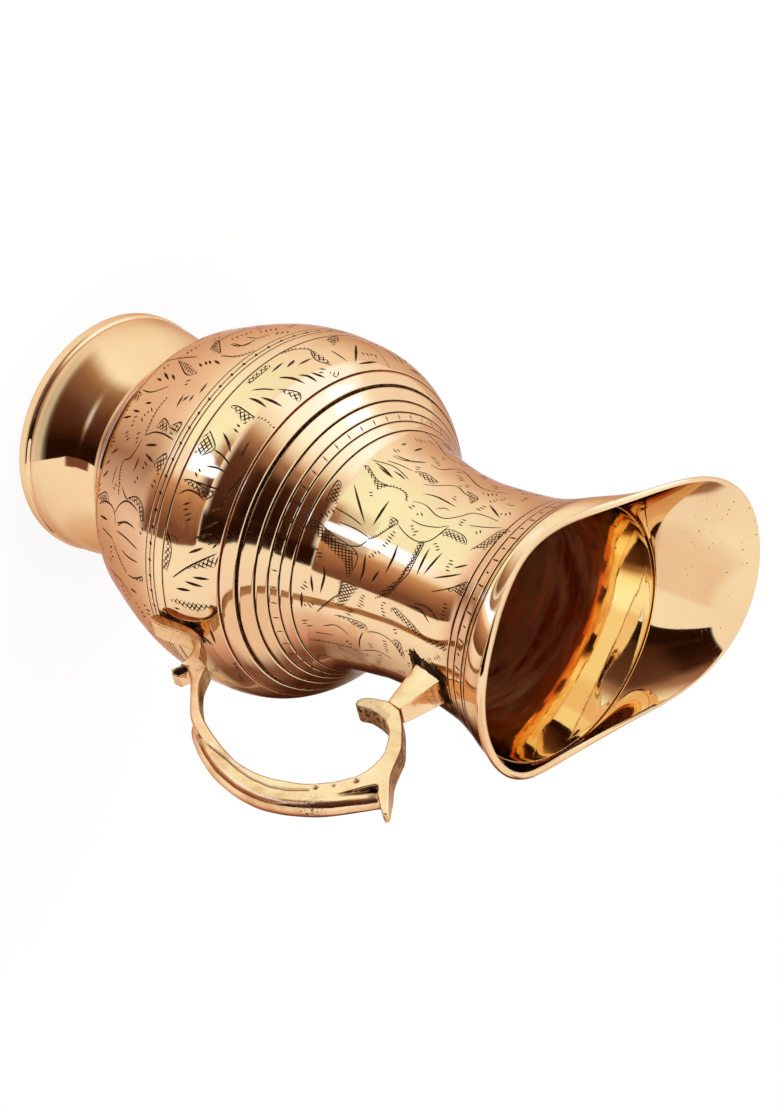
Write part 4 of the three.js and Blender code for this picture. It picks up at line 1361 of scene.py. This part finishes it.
# Painted shade inside the hook, on the faces that turn outwards and down.
inward = ease(facing[:, 0] * -0.5 - facing[:, 2] * 0.3 + 0.1, 0, 0.3)
hook_shade = near(hook_inside, 4.6, 1.6) * inward
# Painted shade on the edge faces along the grip's inner side, next to the wall. The edge faces along the
# arm's outer side are darker as well, fading out towards the spur.
edge_on = 1 - ease(np.abs(facing[:, 1]), 0.35, 0.75)
underside_shade = near(grip_inside + scroll_back[:4], 1.7, 0.8) * 0.62
crown = near(arm_outside, 1.7, 0.8) * 0.72 * ease(244 - up, 0, 12)
rough = cloud(0.8) * 0.35
dark = np.clip(np.maximum(dark, np.maximum(recess, hook_shade * 0.8 * (1 + rough))), 0, 1)
dark = np.clip(np.maximum(dark, edge_on * (underside_shade + crown) * (1 + rough)), 0, 1)
# This value holds both the dark skin and the painted shade.
layer = handle_mesh.verts.layers.float.new("skin")
for vert, amount in zip(handle_mesh.verts, dark):
    vert[layer] = float(amount)
for face in handle_mesh.faces:
    face.smooth = True
print("dark skin on %.0f%% of the points" % (100 * (dark > 0.5).mean()))
add_piece("scroll_handle", handle_mesh, [cast_finish], "handle")

# %% [markdown]
# ## The bracket and the braze
#
# A square bar, wider at the neck, carries the arm of the handle. Where it meets the neck, and where
# the scroll lies against the belly, hard solder ran out over the wall and was left dark. Behind the
# scroll the near-black braze also stands in as painted shadow between the scroll and the belly.

# %% Bracket
bracket_mesh = bmesh.new()
thin_end = [(59.1, 206.9, 3.5), (59.1, 206.9, -3.5), (59.9, 213.7, -3.5), (59.9, 213.7, 3.5)]
wide_end = [(39.0, 203.7, 5.5), (39.0, 203.7, -5.5), (40.6, 217.9, -5.5), (40.6, 217.9, 5.5)]
ends = [[bracket_mesh.verts.new(handle_place(*p)) for p in ring] for ring in (thin_end, wide_end)]
for ring in ends:
    bracket_mesh.faces.new(ring)
for i in range(4):
    k = (i + 1) % 4
    bracket_mesh.faces.new((ends[0][i], ends[0][k], ends[1][k], ends[1][i]))
bmesh.ops.recalc_face_normals(bracket_mesh, faces=bracket_mesh.faces)
long_edges = [e for e in bracket_mesh.edges if e.calc_length() > 15 * MM]
bmesh.ops.subdivide_edges(bracket_mesh, edges=long_edges, cuts=14, use_grid_fill=True)
sharp = [e for e in bracket_mesh.edges if len(e.link_faces) == 2 and e.calc_face_angle() > 0.6]
bmesh.ops.bevel(bracket_mesh, geom=sharp, offset=0.55 * MM, offset_type="OFFSET", segments=3, profile=0.5,
                affect="EDGES", material=-1)
UNEVEN = 0.16
for vert in bracket_mesh.verts:
    spot = vert.co / MM * 0.35
    vert.co += Vector((0, noise.noise(spot), noise.noise(spot + Vector((9, 4, 1))))) * UNEVEN * MM
for face in bracket_mesh.faces:
    face.smooth = True
add_piece("square_bracket", bracket_mesh, [cast_finish], "handle_bracket")

# %% Braze finish
# Near-black braze; behind the scroll the same colours are painted shadow as well.
BRAZE_AND_SHADOW_COLOURS = [(0.36, (0.012, 0.007, 0.005)), (0.52, (0.06, 0.03, 0.017)), (0.66, (0.24, 0.13, 0.06))]


def braze_and_shadow_finish(name):
    finish, tree = new_finish(name)
    colour = ramp(tree, grain(tree, 260, 5), BRAZE_AND_SHADOW_COLOURS)
    roughness = grey_ramp(tree, grain(tree, 420, 3), 0.28, 0.6)
    metal(tree, colour, roughness, bumps(tree, (grain(tree, 330, 4), 0.15)))
    return finish


braze_shadow_finish = braze_and_shadow_finish("dark_braze_and_shadow")
print("finish:", braze_shadow_finish.name)

# %% Skin of braze over a wall
BRAZE_BACK, BRAZE_LOWEST = -0.9, -0.5


def braze_layer(bm, low, high, half, lift_at, cells):
    """A grid of points over the wall behind the handle, each lifted off the wall."""
    grid = []
    for j in range(cells + 1):
        up = low + (high - low) * j / cells
        radius = on_body(up)[0]
        row = []
        for i in range(cells + 1):
            across = -half + 2 * half * i / cells
            reach, angle = radius + lift_at(across, up), math.pi - across / radius
            place = Vector((AXIS_X + reach * math.cos(angle), reach * math.sin(angle), up)) * MM
            row.append(bm.verts.new(place))
        grid.append(row)
    return grid


def braze_patch(name, node, low, high, half, height_at, cells=90):
    """A lumpy skin over the wall behind the handle, closed by a back that stays inside the wall."""
    bm = bmesh.new()
    front = braze_layer(bm, low, high, half, lambda a, z: max(height_at(a, z), BRAZE_LOWEST), cells)
    back = braze_layer(bm, low, high, half, lambda a, z: BRAZE_BACK, cells)
    for grid in (front, back):
        for j in range(cells):
            for i in range(cells):
                bm.faces.new((grid[j][i], grid[j][i + 1], grid[j + 1][i + 1], grid[j + 1][i]))
    around = [(0, i) for i in range(cells)] + [(j, cells) for j in range(cells)]
    around += [(cells, i) for i in range(cells, 0, -1)] + [(j, 0) for j in range(cells, 0, -1)]
    for (a, b), (c, d) in zip(around, around[1:] + around[:1]):
        bm.faces.new((front[a][b], front[c][d], back[c][d], back[a][b]))
    bmesh.ops.recalc_face_normals(bm, faces=bm.faces)
    for face in bm.faces:
        face.smooth = True
    add_piece(name, bm, [braze_shadow_finish], node)


print("braze helpers ready")

# %% Both runs of braze
def lumps(across, up, size):
    """Smooth noise in two sizes."""
    place = Vector((across * size, up * size, 3.7))
    finer = Vector((across * size * 2.3, up * size * 2.3, 8.1))
    return noise.noise(place) + 0.5 * noise.noise(finer)


def bracket_run(across, up):
    """Thick round the bracket's root and thin and ragged further out."""
    off = max(abs(across) - 5.3, abs(up - 210.7) - 7.1)
    thick = 1.1 * math.exp(-max(off, 0) / 1.5) - 0.5 * ease(off, 1.8, 6.2)
    return thick + 0.34 * lumps(across, up, 0.4) + 0.02


def scroll_braze_and_shadow(across, up):
    """A bead of braze between the scroll and the belly, dark also as painted shadow of the scroll."""
    off = max(abs(across) - 2.8, abs(up - 111.0) - 7.5)
    thick = 0.9 * math.exp(-max(off, 0) / 1.1) - 0.5 * ease(off, 0.8, 3.8)
    return thick + 0.28 * lumps(across, up, 0.5) + 0.02


braze_patch("bracket_braze_run", "bracket_braze", 196.5, 224.5, 12.5, bracket_run)
braze_patch("scroll_braze_and_shadow_run", "scroll_braze", 97.5, 124.0, 8.5, scroll_braze_and_shadow)

# %% [markdown]
# ## The studio
#
# The floor and the air are plain and pale, and a large soft lamp stands to the right. A mirror of
# brass needs something to reflect, though, so there are studio cards round the jug, as a photographer
# puts them: brown and black screens that give the metal its shadows, a warm wall, and a few white
# cards that give it lights. Only mirrors see the cards: they take no light away and cast no shadow.

# %% Floor and air
SHADOW_SHARE = 0.14
FLOOR_NEAR, FLOOR_FAR = 0.4, 1.4


def looked_at(tree):
    """1 for camera, mirror and glass rays, 0 for the rays that carry light and shade."""
    path = add_node(tree, "ShaderNodeLightPath").outputs
    seen = maths(tree, "MAXIMUM", path["Is Camera Ray"], path["Is Glossy Ray"])
    return maths(tree, "MAXIMUM", seen, path["Is Transmission Ray"])


def mixed(tree, share, first, second):
    """Mixes two shaders."""
    mix = add_node(tree, "ShaderNodeMixShader")
    for value, socket in zip((share, first.outputs[0], second.outputs[0]), mix.inputs):
        tree.links.new(value, socket)
    return mix.outputs[0]


def backdrop_finish(name, colour):
    """White to the camera and to mirrors; near the jug a share is left that takes shadows."""
    finish, tree = new_finish(name)
    plain = add_node(tree, "ShaderNodeBsdfDiffuse", Color=(*colour, 1))
    glow = add_node(tree, "ShaderNodeEmission", Color=(1, 1, 1, 1), Strength=1.0)
    reach = add_node(tree, "ShaderNodeVectorMath", operation="LENGTH")
    tree.links.new(object_place(tree), reach.inputs[0])
    clean = stretched(tree, reach.outputs["Value"], FLOOR_NEAR, FLOOR_FAR, 1 - SHADOW_SHARE, 1.0)
    end = add_node(tree, "ShaderNodeOutputMaterial")
    tree.links.new(mixed(tree, product(tree, looked_at(tree), clean), plain, glow), end.inputs["Surface"])
    return finish


floor_mesh = bmesh.new()
bmesh.ops.create_grid(floor_mesh, x_segments=1, y_segments=1, size=4)
floor = mesh_object("pale_floor", floor_mesh, [backdrop_finish("pale_floor", (0.9, 0.9, 0.9))])

world = bpy.data.worlds.new("pale_air")
bpy.context.scene.world = world
world.use_nodes = True
air = world.node_tree
air.nodes.clear()
white = add_node(air, "ShaderNodeBackground", Color=(1, 1, 1, 1), Strength=1.0)
room = add_node(air, "ShaderNodeBackground", Color=(0.92, 0.90, 0.88, 1), Strength=0.85)
world_end = add_node(air, "ShaderNodeOutputWorld")
air.links.new(mixed(air, looked_at(air), room, white), world_end.inputs["Surface"])
print("floor and air ready")

# %% Finish of a card
def faded(tree, value, low, high):
    """A smooth step from 0 at low to 1 at high, and low may be the larger of the two."""
    if low < high:
        return stretched(tree, value, low, high, kind="SMOOTHSTEP")
    return stretched(tree, value, high, low, 1, 0, "SMOOTHSTEP")


def card_finish(name, colours, soft, patchy=0.0, scale=3.0, sheen=None):
    """Glowing card: colours run from its first to its last direction, and its four edges fade.

    soft holds the four widths of the fades: first, last, near and far edge. sheen (low, high) keeps
    the part that is seen at a shallow angle, as a polished table shows it, or with high below low
    the part that is seen from above.
    """
    finish, tree = new_finish(name)
    place = add_node(tree, "ShaderNodeUVMap").outputs["UV"]
    across, along = one_axis(tree, place, "X"), one_axis(tree, place, "Y")
    shift = maths(tree, "MULTIPLY_ADD", grain(tree, scale, 3, (1, 1, 0.5)), patchy, across)
    glow = add_node(tree, "ShaderNodeEmission", Strength=1.0)
    tree.links.new(ramp(tree, maths(tree, "SUBTRACT", shift, patchy / 2), colours), glow.inputs["Color"])
    first, last, near_edge, far_edge = soft
    fades = [(across, 0, first), (across, 1, 1 - last), (along, 0, near_edge), (along, 1, 1 - far_edge)]
    masks = [faded(tree, value, low, high) for value, low, high in fades if low != high]
    if sheen:
        slope = add_node(tree, "ShaderNodeLayerWeight", Blend=0.5)
        masks.append(faded(tree, slope.outputs["Facing"], *sheen))
    clear = add_node(tree, "ShaderNodeBsdfTransparent")
    end = add_node(tree, "ShaderNodeOutputMaterial")
    tree.links.new(mixed(tree, product(tree, *masks), clear, glow), end.inputs["Surface"])
    return finish


print("card finish ready")

# %% Shape of a card
cards = []


def studio_card(name, directions, span, colours, soft, radius=None, narrow=1.0, **more):
    """A strip of a cylinder round the jug, or of the floor when it has no radius.

    directions are degrees round the jug; span is two heights, or two distances from the axis for a
    card on the floor; narrow shrinks the far edge towards the card's middle direction.
    """
    level = 0.5 + 0.25 * (len(cards) + 1)
    bm = bmesh.new()
    bmesh.ops.create_grid(bm, x_segments=32, y_segments=12, size=0.5)
    uv = bm.loops.layers.uv.new("UVMap")
    for face in bm.faces:
        for loop in face.loops:
            loop[uv].uv = (loop.vert.co.x + 0.5, loop.vert.co.y + 0.5)
    middle, width = sum(directions) / 2, directions[1] - directions[0]
    for vert in bm.verts:
        u, v = vert.co.x + 0.5, vert.co.y + 0.5
        turn = math.radians(middle + width * (u - 0.5) * (1 + (narrow - 1) * v))
        way = span[0] + (span[1] - span[0]) * v
        reach, height = (radius, way) if radius else (way, level)
        vert.co = Vector((AXIS_X + reach * math.cos(turn), reach * math.sin(turn), height)) * MM
    card = mesh_object(name, bm, [card_finish(name, colours, soft, **more)])
    card.visible_camera = card.visible_diffuse = card.visible_shadow = False
    card.visible_transmission = card.visible_volume_scatter = False
    cards.append(card)


BROWN, DEEP, BLACK = (0.12, 0.05, 0.03), (0.06, 0.02, 0.01), (0.02, 0.006, 0.003)
PEACH, ROSE, RUST = (0.92, 0.80, 0.74), (0.83, 0.62, 0.54), (0.68, 0.40, 0.34)
SHADE = (0.22, 0.1, 0.07)
WHITE = (1.25, 1.6, 2.6)
ALL_WHITE = [(0.0, WHITE), (1.0, WHITE)]
print("card helpers ready")

# %% Cards that stand
# Each has its directions, heights, colours from the first to the last direction, and soft edges.
studio_card("brown_screen", (84, 163), (0, 1750),
            [(0.0, (0.75, 0.56, 0.34)), (0.2, (0.4, 0.23, 0.16)), (0.4, BROWN), (0.75, DEEP)],
            (0.2, 0, 0.1, 0.1), radius=900, patchy=0.25)
studio_card("black_top", (104, 163), (520, 2250), [(0.0, DEEP), (0.6, BLACK)],
            (0.2, 0, 0.25, 0.1), radius=895, patchy=0.6, scale=4)
studio_card("black_screen", (143, 163), (0, 1750), [(0.0, DEEP), (0.3, BLACK)],
            (0.3, 0, 0.03, 0.1), radius=890, patchy=0.4, scale=5)
studio_card("white_key", (20, 90), (0, 1400),
            [(0.0, (1.1, 1.25, 1.5)), (0.5, (1.2, 1.4, 1.8)), (1.0, (1.05, 1.2, 1.2))],
            (0.15, 0.22, 0.06, 0.1), radius=880)
studio_card("side_window", (27, 51), (360, 740), ALL_WHITE, (0.25, 0.25, 0.25, 0.25), radius=872)
studio_card("warm_wall", (196, 258), (0, 420), [(0.0, PEACH), (0.3, ROSE), (0.5, RUST), (0.76, SHADE)],
            (0.2, 0, 0, 0.5), radius=900, patchy=0.1)
studio_card("peach_wall", (190, 262), (200, 2300),
            [(0.0, PEACH), (0.6, (0.90, 0.77, 0.70)), (1.0, (0.95, 0.92, 0.9))],
            (0.1, 0.2, 0.1, 0.3), radius=905, patchy=0.2)
studio_card("dark_side", (246, 300), (0, 330), [(0.0, (0.3, 0.15, 0.11)), (0.4, (0.065, 0.024, 0.012))],
            (0.25, 0.4, 0, 0.45), radius=885, patchy=0.2)
studio_card("dark_door", (277, 292), (230, 600), [(0.0, (0.5, 0.3, 0.22)), (0.6, (0.36, 0.2, 0.14))],
            (0.35, 0.35, 0.1, 0.4), radius=880, patchy=0.5, scale=6)
print("standing cards:", len(cards))

# %% Cards on the floor
# They lie one above the other, from the lowest to the highest.
studio_card("lit_floor", (40, 122), (140, 895), [(0.0, (1.0, 1.06, 1.0)), (0.5, (1.03, 1.2, 1.12))],
            (0.2, 0.06, 0.08, 0.05))
studio_card("warm_floor", (196, 256), (150, 895),
            [(0.0, PEACH), (0.3, (0.80, 0.58, 0.5)), (0.52, (0.52, 0.29, 0.23)), (0.76, SHADE)],
            (0.2, 0, 0.3, 0), patchy=0.12)
studio_card("dark_side_floor", (250, 300), (150, 880),
            [(0.0, (0.4, 0.22, 0.17)), (0.4, (0.08, 0.03, 0.016))], (0.2, 0.4, 0.1, 0), patchy=0.2)
studio_card("rosy_floor", (306, 404), (100, 890), [(0.0, (0.84, 0.72, 0.74)), (1.0, (0.86, 0.70, 0.62))],
            (0.2, 0.4, 0.1, 0.1))
# Painted shadow of the jug on the floor near its foot, with the warm colour the brass would throw on the
# floor there; mirrors see it only from above.
studio_card("floor_shadow_ring", (0, 360), (40, 178),
            [(0.0, (0.96, 0.80, 0.74)), (0.3, (0.92, 0.74, 0.68)), (0.38, (0.42, 0.25, 0.2)),
             (0.46, (0.93, 0.80, 0.82)), (0.54, (0.82, 0.62, 0.55))],
            (0, 0, 0, 0.5), sheen=(0.44, 0.3))
studio_card("brown_runner", (131, 168), (118, 895),
            [(0.1, (0.72, 0.44, 0.27)), (0.45, (0.42, 0.21, 0.12)), (0.8, (0.2, 0.085, 0.05))],
            (0.22, 0.03, 0.03, 0), narrow=0.86, patchy=0.4, scale=9)
studio_card("table_sheen", (84, 160), (46, 215),
            [(0.0, (0.7, 0.52, 0.36)), (0.25, (0.3, 0.16, 0.1)), (0.5, BROWN), (0.72, DEEP), (0.85, BLACK)],
            (0.2, 0, 0, 0.15), patchy=0.12, sheen=(0.36, 0.5))
studio_card("warm_sheen", (192, 262), (46, 230),
            [(0.0, PEACH), (0.5, (0.82, 0.62, 0.52)), (1.0, (0.8, 0.56, 0.46))],
            (0.3, 0.1, 0, 0.15), sheen=(0.36, 0.5))
studio_card("front_floor", (98, 140), (330, 895),
            [(0.0, (0.78, 0.6, 0.4)), (0.4, (0.42, 0.25, 0.17)), (0.8, BROWN)],
            (0.3, 0, 0.45, 0), patchy=0.2)
studio_card("white_wedge", (116, 131), (195, 520), ALL_WHITE, (0.1, 0.1, 0.06, 0.2), narrow=0.45)
studio_card("white_slit", (121, 130.5), (300, 1250), ALL_WHITE, (0.15, 0.15, 0.02, 0.1), narrow=0.5)
print("studio cards:", len(cards))

# %% Soft lamps
AIM_HEIGHT = 0.13


def soft_lamp(name, direction, rise, distance, size, power, colour=(1, 1, 1)):
    """A rectangular area lamp that faces the jug, placed by direction and rise in degrees."""
    data = bpy.data.lights.new(name, "AREA")
    data.shape = "RECTANGLE"
    data.size, data.size_y = size[0] * MM, size[1] * MM
    data.energy = power
    data.color = colour
    lamp = bpy.data.objects.new(name, data)
    a, e = math.radians(direction), math.radians(rise)
    place = Vector((math.cos(e) * math.cos(a), math.cos(e) * math.sin(a), math.sin(e))) * distance * MM
    lamp.location = place + Vector((AXIS_X * MM, 0, AIM_HEIGHT))
    lamp.rotation_euler = place.to_track_quat("Z", "Y").to_euler()
    lamp.visible_camera = False
    lamp.visible_glossy = False
    bpy.context.scene.collection.objects.link(lamp)


soft_lamp("key_softbox", 52, 30, 1500, (1100, 620), 16, (1.0, 0.98, 0.93))
soft_lamp("top_softbox", 180, 78, 1700, (900, 900), 10)
bpy.context.scene.view_settings.view_transform = "Standard"
print("lamps ready")

# %% [markdown]
# ## Sizes of the boxes
#
# A helper rounds the corners of a box to six places.

# %% Sizes
def plain(box):
    return [[round(float(v), 6) for v in corner] for corner in box]
